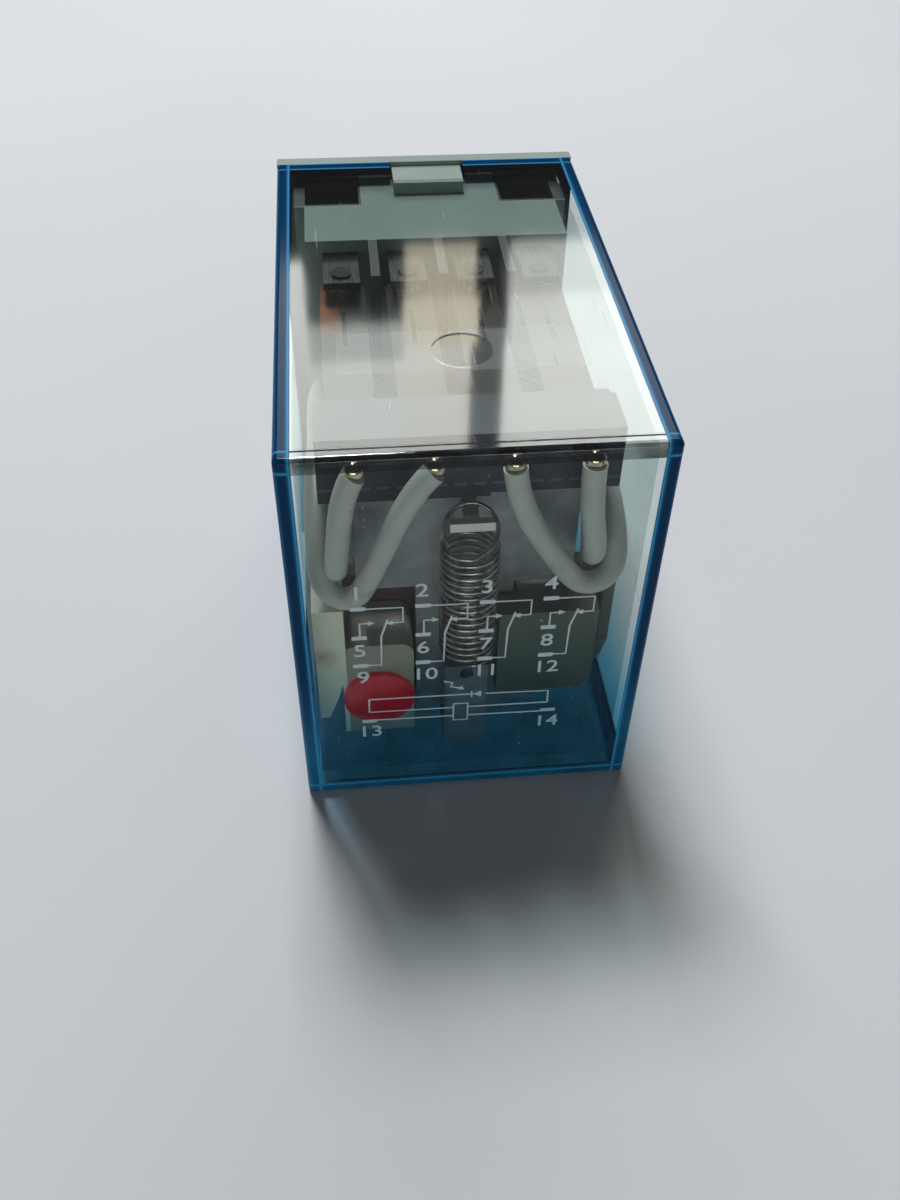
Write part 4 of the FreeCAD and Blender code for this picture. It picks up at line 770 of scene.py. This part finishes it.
FINISHES: dict[str, Any] = {
    "tinted_polycarbonate": ClearShell(),
    # Painted shade: near-black over the base's rear upper corners, dark grey over the partitions
    # between the contacts.
    "base_moulding": PaintedLightZone(
        PaintedLightZone(
            PaintedLightZone(
                Moulding("moulded PBT, grey-green", "#84968f", "#6b7c74", 0.5, 3.0, 0.2, 0.12),
                "#050606", (4.9, 9.4, 20.0), (9.2, 13.9, 26.6), mirrored=True),
            "#050606", (4.9, 9.4, 25.8), (10.2, 13.9, 27.6), mirrored=True),
        "#2b302e", (-8.9, -1.0, 17.0), (8.9, 4.15, 28.0)),
    # Painted shade: the terminal strips go dark inside the box behind the contacts.
    "tinned_brass": PaintedLightZone(
        Metal("tinned brass strip", "#d2d0c8", "#a5a39a", 0.3, 0.2, Lay.DEEP),
        "#3b3c39", (-9.0, -1.0, 17.0), (9.0, 13.5, 27.0)),
    # Painted shade: the contact faces go near-black inside this thin box.
    "silver_alloy": PaintedLightZone(
        Metal("silver alloy contact", "#d9d4cb", "#8d8378", 0.25, 0.1),
        "#2c2c2a", (-9.0, 0.0, 25.6), (9.0, 3.0, 26.4)),
    # Painted highlight: the top of the armature's tab is painted near-white.
    "plated_iron": PaintedLightZone(
        Metal("zinc-plated iron, brushed", "#b4b6ba", "#8b8d92", 0.4, 0.12, Lay.ACROSS, 0.25,
              2.2, 0.55),
        "#f3efe4", (-2.0, -19.2, 20.6), (2.0, -18.3, 21.5)),
    "bare_copper": Metal("bare copper", "#c27a4c", "#8e4f2c", 0.3, 0.1),
    "bobbin_plastic": ZonedMoulding(),
    "enamelled_copper": WoundWire(),
    "coil_tape": Moulding("polyester film tape, brown-red", "#5e3526", "#3e2119", 0.3, 1.2, 0.3,
                          0.15),
    "red_lens": LampLens(),
    "tinned_wire": Metal("tinned copper wire", "#cfcac0", "#9c9688", 0.28, 0.08, Lay.EVEN, 0.2),
    "resistor_coating": Moulding("baked lacquer, tan", "#b98f5c", "#9a7243", 0.35, 0.8),
    "diode_body": Moulding("moulded epoxy, black", "#26262a", "#151517", 0.35, 0.9),
    "carrier_plastic": CarrierPlastic(),
    # Painted shade: the oxidised bronze springs go near-black over most of their length, leaving a
    # short copper stretch on the left spring.
    "spring_copper_alloy": PaintedLightZone(
        PaintedLightZone(
            Metal("phosphor bronze strip, oxidised, painted shade", "#83492a", "#4d2a19", 0.38, 0.15, Lay.DEEP,
                  0.2, 2.0, 0.8),
            "#2a2624", (-6.9, -18.0, 24.0), (9.0, 3.0, 25.6)),
        "#383431", (-9.0, -18.0, 24.0), (9.0, -3.8, 25.6)),
    "spring_steel": Metal("drawn spring steel", "#e2ddd5", "#77736f", 0.2, 0.08, Lay.EVEN, 0.2,
                          0.9),
    "lead_sleeve": Moulding("extruded silicone sleeve, grey-white", "#d3d5ce", "#bfc1b9", 0.4,
                            2.5, 0.1, 0.06, 1.43, 0.2),
    "solder": Metal("solder, set bright", "#e6e0cc", "#b0935a", 0.14, 0.25, Lay.EVEN, 0.3, 0.5),
}


# ---------------------------------------------------------------- geometry tree

class PathSection:
    """Geometry Nodes tree that lays a round section along every chain of a mesh."""

    def __init__(self) -> None:
        """Builds the tree once, with named inputs for its sizes."""
        tree = bpy.data.node_groups.new("SectionAlongPath", "GeometryNodeTree")
        face = tree.interface
        for label, kind in (("Geometry", "Geometry"), ("Radius", "Float"), ("Sides", "Int"),
                            ("Bare Start", "Float"), ("Bare End", "Float"),
                            ("Flatness", "Float"), ("Depth", "Float"), ("Finish", "Material")):
            face.new_socket(label, in_out="INPUT", socket_type=f"NodeSocket{kind}")
        face.new_socket("Geometry", in_out="OUTPUT", socket_type="NodeSocketGeometry")
        given = add_node(tree, "NodeGroupInput").outputs
        path = add_node(tree, "GeometryNodeMeshToCurve", {0: given["Geometry"]})
        length = add_node(tree, "GeometryNodeCurveLength", {0: path.outputs[0]})
        stop = add_node(tree, "ShaderNodeMath", {0: length.outputs[0], 1: given["Bare End"]},
                        operation="SUBTRACT")
        trimmed = add_node(tree, "GeometryNodeTrimCurve", mode="LENGTH")
        tree.links.new(path.outputs[0], trimmed.inputs[0])
        starts = [s for s in trimmed.inputs if s.name == "Start"]
        ends = [s for s in trimmed.inputs if s.name == "End"]
        tree.links.new(given["Bare Start"], starts[-1])
        tree.links.new(stop.outputs[0], ends[-1])
        ring = add_node(tree, "GeometryNodeCurvePrimitiveCircle", {
            "Resolution": given["Sides"], "Radius": given["Radius"]})
        tube = add_node(tree, "GeometryNodeCurveToMesh", {
            "Curve": trimmed.outputs[0], "Profile Curve": ring.outputs[0], "Fill Caps": True})
        flat = add_node(tree, "ShaderNodeCombineXYZ", {0: 1.0, 1: given["Flatness"], 2: 1.0})
        shift = add_node(tree, "ShaderNodeCombineXYZ", {1: given["Depth"]})
        placed = add_node(tree, "GeometryNodeTransform", {
            "Geometry": tube.outputs[0], "Translation": shift.outputs[0],
            "Scale": flat.outputs[0]})
        smooth = add_node(tree, "GeometryNodeSetShadeSmooth", {0: placed.outputs[0]})
        real = add_node(tree, "GeometryNodeRealizeInstances", {0: smooth.outputs[0]})
        dress = add_node(tree, "GeometryNodeSetMaterial", {
            "Geometry": real.outputs[0], "Material": given["Finish"]})
        add_node(tree, "NodeGroupOutput", {0: dress.outputs[0]})
        self.tree = tree
        self.ids = {item.name: item.identifier for item in face.items_tree
                    if item.in_out == "INPUT"}

    def lay(self, path: bpy.types.Object, radius: float, finish: bpy.types.Material,
            sides: int = 16, bare: tuple[float, float] = (0.0, 0.0), flatness: float = 1.0,
            depth: float = 0.0) -> bpy.types.Object:
        """Turns a mesh of chains into a solid of round section.

        Args:
            path: Object whose mesh is the chains.
            radius: Section radius in metres.
            finish: Material of the result.
            sides: Sides of the section.
            bare: Length left off at the start and at the end, in metres.
            flatness: Scale along the depth, for print.
            depth: Shift along the depth, in metres.

        Returns:
            The same object, with a plain mesh.
        """
        maker = path.modifiers.new("Section", "NODES")
        maker.node_group = self.tree
        for label, setting in (("Radius", radius), ("Sides", sides), ("Bare Start", bare[0]),
                               ("Bare End", bare[1]), ("Flatness", flatness), ("Depth", depth),
                               ("Finish", finish)):
            maker[self.ids[label]] = setting
        graph = bpy.context.evaluated_depsgraph_get()
        graph.update()
        mesh = bpy.data.meshes.new_from_object(path.evaluated_get(graph), depsgraph=graph)
        path.modifiers.remove(maker)
        mesh.name = path.name
        path.data = mesh
        return path


# ---------------------------------------------------------------- sub-assemblies

@dataclass
class ReturnSpring:
    """The tension spring between the armature's tab and the yoke's tongue."""

    centre_mm: float = -18.2
    radius_mm: float = 1.68
    wire_mm: float = 0.28
    low_mm: float = 10.3
    high_mm: float = 19.3
    turns: float = 17.0
    ring_radius_mm: float = 1.55
    ring_centre_mm: tuple[float, float] = (-18.45, 20.4)
    ring_lean: float = 45.0
    ring_step: float = 11.5
    ring_steps: tuple[int, int] = (2, 27)
    foot_mm: float = 8.4
    foot_half_mm: float = 0.95
    steps: int = 30

    def path(self) -> list[Point]:
        """Works out the wire's line.

        Returns:
            Points in metres from the foot hook, up the coil, to the open ring round the tab.
        """
        y = self.centre_mm
        half = self.foot_half_mm
        foot = [(0.0, y + half, self.foot_mm + half * 1.1),
                *[(0.0, y + half * math.cos(a), self.foot_mm + half * 0.6 * (1 - math.sin(a)))
                  for a in [math.pi * k / 10 for k in range(11)]],
                (0.0, y - half * 1.15, self.foot_mm + half * 1.2)]
        coil = []
        count = int(self.turns * self.steps)
        for k in range(count + 1):
            part = k / count
            turn = -math.pi / 2 + 2 * math.pi * self.turns * part
            coil.append((self.radius_mm * math.cos(turn), y + self.radius_mm * math.sin(turn),
                         self.low_mm + (self.high_mm - self.low_mm) * part))
        lean = math.radians(self.ring_lean)
        ring = []
        for k in range(*self.ring_steps):
            turn = math.radians(-90 + self.ring_step * k)
            out = self.ring_radius_mm * math.sin(turn)
            ring.append((self.ring_radius_mm * math.cos(turn),
                         self.ring_centre_mm[0] + out * math.cos(lean),
                         self.ring_centre_mm[1] + out * math.sin(lean)))
        return [(a * MM, b * MM, c * MM) for a, b, c in foot + coil + ring]

    def build(self, section: PathSection, finish: bpy.types.Material) -> None:
        """Makes the spring's wire in place of the CAD spring.

        Args:
            section: Tree that lays the wire.
            finish: Steel of the wire.
        """
        wire = section.lay(chains("return_spring_wire", [self.path()]), self.wire_mm / 2 * MM,
                           finish, sides=10)
        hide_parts("return_spring")
        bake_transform(wire)
        LOG.info("return spring: %.2f turns of %.2f mm wire", self.turns, self.wire_mm)


@dataclass
class FlexibleLeads:
    """The four sleeved leads between the moving springs' tails and the common tags."""

    sleeve_mm: float = 1.4
    conductor_mm: float = 0.6
    bare_top_mm: float = 0.02
    bare_end_mm: float = 0.8
    bend_start_mm: Point = (0.0, -6.0, 16.5)
    bend_end_mm: Point = (0.0, -18.5, 24.3)

    def routes(self) -> dict[int, list[Point]]:
        """Gives each lead's bends as across, depth from the seat and height, in millimetres."""
        return {
            1: [(6.6, 33.95, 25.3), (6.6, 34.0, 22.8), (7.3, 33.9, 18.9), (7.45, 32.5, 17.2),
                (8.0, 30.4, 16.8), (8.5, 26.8, 17.0), (8.8, 21.5, 17.3), (8.85, 15.2, 17.0),
                (8.5, 11.2, 15.9), (6.7, 9.8, 15.6), (6.6, 7.3, 15.25)],
            2: [(2.2, 33.95, 25.3), (2.5, 34.0, 22.7), (4.9, 34.05, 18.6), (6.7, 33.9, 15.9),
                (8.9, 33.3, 16.4), (8.98, 31.4, 19.0), (8.9, 26.6, 20.0), (8.5, 21.6, 19.7),
                (7.0, 17.6, 18.7), (5.0, 14.4, 16.9), (3.1, 11.9, 15.7), (2.2, 9.7, 15.6),
                (2.2, 7.3, 15.25)],
            3: [(-2.2, 33.95, 25.3), (-3.5, 34.0, 24.0), (-5.75, 34.05, 18.3),
                (-7.0, 33.9, 15.6), (-8.95, 33.2, 16.3), (-8.98, 31.3, 18.9),
                (-8.9, 26.6, 20.1), (-8.5, 21.5, 19.8), (-6.9, 17.7, 18.8),
                (-5.1, 14.3, 16.9), (-3.0, 11.9, 15.7), (-2.2, 9.7, 15.6),
                (-2.2, 7.3, 15.25)],
            4: [(-6.6, 33.95, 25.3), (-7.35, 34.0, 24.0), (-7.9, 33.9, 18.7),
                (-7.95, 32.5, 17.0), (-8.2, 30.4, 16.8), (-8.5, 26.8, 17.0),
                (-8.8, 21.5, 17.3), (-8.85, 15.2, 17.0), (-8.5, 11.2, 15.9),
                (-6.7, 9.8, 15.6), (-6.6, 7.3, 15.25)],
        }

    def line(self, bends: Sequence[Point]) -> list[Vector]:
        """Draws one smooth line with the bends as its control points.

        Args:
            bends: Across, depth and height of each bend, in millimetres.

        Returns:
            Points along the line, in metres.
        """
        curve = bpy.data.curves.new("lead_line", "CURVE")
        curve.dimensions = "3D"
        spline = curve.splines.new("NURBS")
        spline.points.add(len(bends) - 1)
        for point, (across, depth, height) in zip(spline.points, bends):
            point.co = (across * MM, (SEAT - depth) * MM, height * MM, 1.0)
        spline.order_u = 3
        spline.use_endpoint_u = True
        spline.resolution_u = 10
        holder = bpy.data.objects.new("lead_line", curve)
        mesh = bpy.data.meshes.new_from_object(holder)
        points = [v.co.copy() for v in mesh.vertices]
        bpy.data.objects.remove(holder)
        bpy.data.curves.remove(curve)
        bpy.data.meshes.remove(mesh)
        return points

    def bend(self, thing: bpy.types.Object) -> None:
        """Bakes a piece's placement into its mesh."""
        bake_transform(thing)

    def build(self, section: PathSection, sleeve: bpy.types.Material,
              metal: bpy.types.Material) -> None:
        """Makes four sleeves and their conductors.

        Args:
            section: Tree that lays each section.
            sleeve: Finish of the sleeves.
            metal: Finish of the conductors.
        """
        lines = {number: self.line(bends) for number, bends in self.routes().items()}
        for number, points in lines.items():
            tube = section.lay(chains(f"sleeve_of_lead_{number}", [points]),
                               self.sleeve_mm / 2 * MM, sleeve, sides=24,
                               bare=(self.bare_top_mm * MM, self.bare_end_mm * MM))
            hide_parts(f"lead_sleeve_{number}")
            self.bend(tube)
            length = sum((b - a).length for a, b in zip(points, points[1:])) / MM
            LOG.info("lead %d: %.1f mm long", number, length)
        cores = section.lay(chains("lead_conductors", list(lines.values())),
                            self.conductor_mm / 2 * MM, metal, sides=12)
        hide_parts("lead_wires")
        self.bend(cores)


@dataclass
class FrontDiagram:
    """The plain contact diagram and terminal numbers printed on the front of the case."""

    face_mm: float = -21.2
    line_mm: float = 0.13
    film_mm: float = 0.02
    digit_mm: float = 1.05
    digit_fill: float = 1.38    # a digit is shorter than its type size
    digit_spread: float = 1.12
    digit_weight_mm: float = 0.012
    pads_mm: tuple[float, ...] = (-6.8, -3.03, 0.72, 4.45)

    def strokes(self) -> list[list[Point]]:
        """Gives every line of the diagram as across and height, in millimetres."""
        lines: list[list[tuple[float, float]]] = []
        for pad in self.pads_mm:
            lines.append([(pad + 0.4, 17.15), (pad + 2.6, 17.12), (pad + 2.6, 15.93),
                          (pad + 1.95, 15.92)])
            lines.append([(pad + 0.4, 12.38), (pad + 1.25, 12.35), (pad + 1.3, 14.8),
                          (pad + 1.7, 16.2)])
            lines.append([(pad + 0.05, 14.8), (pad + 0.05, 15.96), (pad + 0.6, 15.97)])
        lines.append([(-6.4, 9.2), (-0.05, 9.14)])
        lines.append([(0.9, 9.12), (4.88, 9.0), (4.9, 7.9)])
        lines.append([(-6.4, 9.2), (-6.42, 8.0), (-1.05, 7.95)])
        lines.append([(-0.2, 7.94), (4.9, 7.9)])
        lines.append([(-6.2, 7.2), (-1.1, 7.15)])
        lines.append([(-0.2, 7.14), (4.8, 7.05)])
        lines.append([(-1.1, 8.3), (-0.2, 8.29), (-0.2, 6.7), (-1.1, 6.71), (-1.1, 8.3)])
        lines.append([(0.02, 9.42), (0.02, 8.86)])
        lines.append([(-1.75, 10.5), (-1.2, 10.3), (-1.3, 9.95), (-0.75, 9.8)])
        return [[(x * MM, 0.0, z * MM) for x, z in line] for line in lines]

    def patches(self) -> list[list[tuple[float, float]]]:
        """Gives the filled pads, arrow heads and the diode's triangle."""
        shapes = []
        for pad in self.pads_mm:
            for low, high in ((17.02, 17.32), (14.62, 14.92), (12.2, 12.52)):
                shapes.append([(pad - 0.45, low), (pad + 0.45, low), (pad + 0.45, high),
                               (pad - 0.45, high)])
            shapes.append([(pad + 1.55, 15.92), (pad + 2.0, 15.72), (pad + 2.0, 16.12)])
            shapes.append([(pad + 0.95, 15.97), (pad + 0.55, 16.17), (pad + 0.55, 15.77)])
        for low in (-6.9, 4.5):
            shapes.append([(low, 7.0), (low + 0.95, 7.0), (low + 0.95, 7.28), (low, 7.28)])
        shapes.append([(0.08, 9.14), (0.62, 8.86), (0.62, 9.42)])
        shapes.append([(-0.45, 9.62), (-0.62, 9.98), (-0.92, 9.7)])
        return shapes

    def numbers(self) -> list[tuple[str, float, float]]:
        """Gives each terminal number with its place across and up."""
        rows = [(1, 18.35, -0.05), (5, 13.62, 0.0), (9, 11.25, 0.12)]
        marks = [(str(first + k), pad + shift, height) for first, height, shift in rows
                 for k, pad in enumerate(self.pads_mm)]
        return marks + [("13", -6.4, 6.08), ("14", 4.95, 6.02)]

    def build(self, section: PathSection, ink: bpy.types.Material) -> None:
        """Makes the lines, the filled shapes and the numbers, just under the outer skin.

        Args:
            section: Tree that lays the lines.
            ink: Finish of the print.
        """
        middle = (self.face_mm + self.film_mm) * MM
        lines = section.lay(chains("diagram_lines", self.strokes()), self.line_mm / 2 * MM, ink,
                            sides=8, flatness=self.film_mm / self.line_mm, depth=middle)
        dressed(lines, Body.FRAME)
        points: list[Point] = []
        faces: list[list[int]] = []
        near, far = middle - self.film_mm / 2 * MM, middle + self.film_mm / 2 * MM
        for shape in self.patches():
            area = sum(a[0] * b[1] - b[0] * a[1] for a, b in zip(shape, shape[1:] + shape[:1]))
            loop = shape if area > 0 else shape[::-1]
            base, count = len(points), len(loop)
            points += [(x * MM, near, z * MM) for x, z in loop]
            points += [(x * MM, far, z * MM) for x, z in loop]
            faces.append([base + i for i in range(count)])
            faces.append([base + count + i for i in reversed(range(count))])
            faces += [[base + (i + 1) % count, base + i, base + count + i,
                       base + count + (i + 1) % count] for i in range(count)]
        fills = mesh_object("diagram_fills", points, [], faces)
        fills.data.materials.append(ink)
        dressed(fills, Body.FRAME)
        self.print_numbers(middle, ink)

    def print_numbers(self, middle: float, ink: bpy.types.Material) -> None:
        """Sets the terminal numbers as one mesh.

        Args:
            middle: Depth of the film's middle, in metres.
            ink: Finish of the print.
        """
        points: list[Vector] = []
        faces: list[list[int]] = []
        for text, across, height in self.numbers():
            words = bpy.data.curves.new("number", "FONT")
            words.body = text
            words.size = self.digit_mm * self.digit_fill * MM
            words.extrude = self.film_mm / 2 * MM
            words.offset = self.digit_weight_mm * MM
            words.align_x = "CENTER"
            words.align_y = "CENTER"
            words.resolution_u = 6
            holder = bpy.data.objects.new("number", words)
            mesh = bpy.data.meshes.new_from_object(holder)
            base = len(points)
            points += [Vector((across * MM + v.co.x * self.digit_spread, middle - v.co.z,
                               height * MM + v.co.y)) for v in mesh.vertices]
            faces += [[base + i for i in face.vertices] for face in mesh.polygons]
            bpy.data.objects.remove(holder)
            bpy.data.curves.remove(words)
            bpy.data.meshes.remove(mesh)
        digits = mesh_object("diagram_numbers", points, [], faces)
        digits.data.materials.append(ink)
        dressed(digits, Body.FRAME)


@dataclass
class CadDressing:
    """Puts a finish on every CAD node that stays in view."""

    made: dict[str, bpy.types.Material]

    def build(self) -> None:
        """Assigns each node's slots by their record names."""
        for name, node in frame["nodes"].items():
            for slot in node.material_slots:
                key = slot.material.name.split(".")[0]
                slot.material = self.made[key]
            LOG.info("node %s: %s", name, ", ".join(s.material.name for s in node.material_slots))


@dataclass(frozen=True)
class Panel:
    """One soft light panel."""

    name: str
    low: Point
    high: Point
    radiance: float
    tint: str = "#ffffff"
    target: Point | None = None

    def build(self) -> None:
        """Makes an area light that fills the rectangle and faces the object.

        An upright panel spans low to high across and up. With a target it is centred on low,
        sized by high's first two numbers, and turned to face the target.
        """
        data = bpy.data.lights.new(self.name, "AREA")
        data.shape = "RECTANGLE"
        data.color = linear(self.tint)[:3]
        lamp = bpy.data.objects.new(self.name, data)
        bpy.context.scene.collection.objects.link(lamp)
        if self.target is None:
            data.size = self.high[0] - self.low[0]
            data.size_y = self.high[2] - self.low[2]
            lamp.location = (Vector(self.low) + Vector(self.high)) / 2
            lamp.rotation_euler = Vector((0, -1, 0)).to_track_quat("-Z", "Z").to_euler()
        else:
            data.size, data.size_y = self.high[0], self.high[1]
            lamp.location = self.low
            lamp.rotation_euler = (Vector(self.target) - Vector(self.low)).to_track_quat(
                "-Z", "Y").to_euler()
        data.energy = 4 * data.size * data.size_y * self.radiance


@dataclass(frozen=True)
class Studio:
    """Plain paper floor, soft panels and the camera."""

    place_mm: Point = (-6.832, -68.176, 63.774)
    azimuth: float = -6.502
    elevation: float = 44.372
    roll: float = 1.261
    lens: float = 34.505
    floor_m: float = 1.6
    air: str = "#c3cad8"
    air_strength: float = 0.045
    depth_m: float = 0.4

    def panels(self) -> list[Panel]:
        """Gives the upright panels that the top wall mirrors, the key light and the fill."""
        d = self.depth_m
        return [
            Panel("panel_right", (0.070, d, 0.285), (0.24, d, 0.43), 3.9, "#fcfff8"),
            Panel("panel_right_low", (0.0705, d, 0.260), (0.22, d, 0.285), 3.5, "#fcfff8"),
            Panel("panel_right_foot", (0.070, d, 0.234), (0.20, d, 0.260), 2.2, "#fcfff8"),
            Panel("panel_middle", (0.022, d, 0.285), (0.054, d, 0.43), 3.3, "#fffdf2"),
            Panel("panel_middle_low", (0.022, d, 0.260), (0.057, d, 0.285), 2.9, "#fff6de"),
            Panel("panel_middle_foot", (0.023, d, 0.234), (0.055, d, 0.260), 1.9, "#fff6de"),
            Panel("panel_over_gap", (-0.022, d, 0.292), (0.022, d, 0.43), 3.3, "#fcfff8"),
            Panel("panel_over_gap_low", (-0.022, d, 0.272), (0.022, d, 0.292), 1.9, "#fcfff8"),
            Panel("panel_left", (-0.12, d, 0.240), (-0.022, d, 0.43), 3.5, "#fcfff8"),
            Panel("key_above", (-0.055, 0.27, 0.52), (0.15, 0.14, 0), 35.0, "#fcfbff",
                  (0.0, 0.0, 0.0)),
            Panel("fill_low_front", (-0.08, -0.60, 0.09), (0.6, 0.14, 0), 3.0, "#fbf9f5",
                  (0.0, 0.0, 0.015)),
        ]

    def build(self) -> None:
        """Makes the floor, lights, world and camera."""
        half = self.floor_m / 2
        drop = -0.02 * MM
        floor = mesh_object("paper_floor", [(-half, -half, drop), (half, -half, drop),
                                            (half, half, drop), (-half, half, drop)],
                            [], [[0, 1, 2, 3]])
        floor.data.materials.append(Paper().build())
        for panel in self.panels():
            panel.build()
        scene = bpy.context.scene
        world = bpy.data.worlds.new("studio_air")
        world.use_nodes = True
        world.node_tree.nodes.clear()
        air = add_node(world.node_tree, "ShaderNodeBackground", {
            "Color": linear(self.air), "Strength": self.air_strength})
        add_node(world.node_tree, "ShaderNodeOutputWorld", {"Surface": air.outputs[0]})
        scene.world = world
        scene.view_settings.view_transform = "Standard"
        scene.view_settings.look = "None"
        self.aim_camera()

    def aim_camera(self) -> None:
        """Places the camera at its azimuth, elevation and roll."""
        turn, lift, roll = (math.radians(a) for a in (self.azimuth, self.elevation, self.roll))
        back = Vector((math.sin(turn) * math.cos(lift), -math.cos(turn) * math.cos(lift),
                       math.sin(lift)))
        right = Vector((0, 0, 1)).cross(back).normalized()
        up = back.cross(right)
        level = math.cos(roll) * right + math.sin(roll) * up
        tall = -math.sin(roll) * right + math.cos(roll) * up
        turned = Matrix((level, tall, back)).transposed().to_4x4()
        data = bpy.data.cameras.new("camera")
        data.lens = self.lens
        data.sensor_width = 36.0
        data.sensor_fit = "AUTO"
        data.clip_start = 0.002
        camera = bpy.data.objects.new("camera", data)
        camera.matrix_world = Matrix.Translation(Vector(self.place_mm) * MM) @ turned
        bpy.context.scene.collection.objects.link(camera)
        bpy.context.scene.camera = camera
        LOG.info("camera: %.1f mm lens", self.lens)


def main() -> None:
    """Builds the studio and every sub-assembly."""
    logging.basicConfig(level=logging.INFO, format="%(name)s: %(message)s")
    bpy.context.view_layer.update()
    Studio().build()
    made = {slot: finish.build() for slot, finish in FINISHES.items()}
    section = PathSection()
    CadDressing(made).build()
    ReturnSpring().build(section, made["spring_steel"])
    FlexibleLeads().build(section, made["lead_sleeve"], made["tinned_wire"])
    FrontDiagram().build(section, PrintInk().build())


if __name__ == "__main__":
    main()
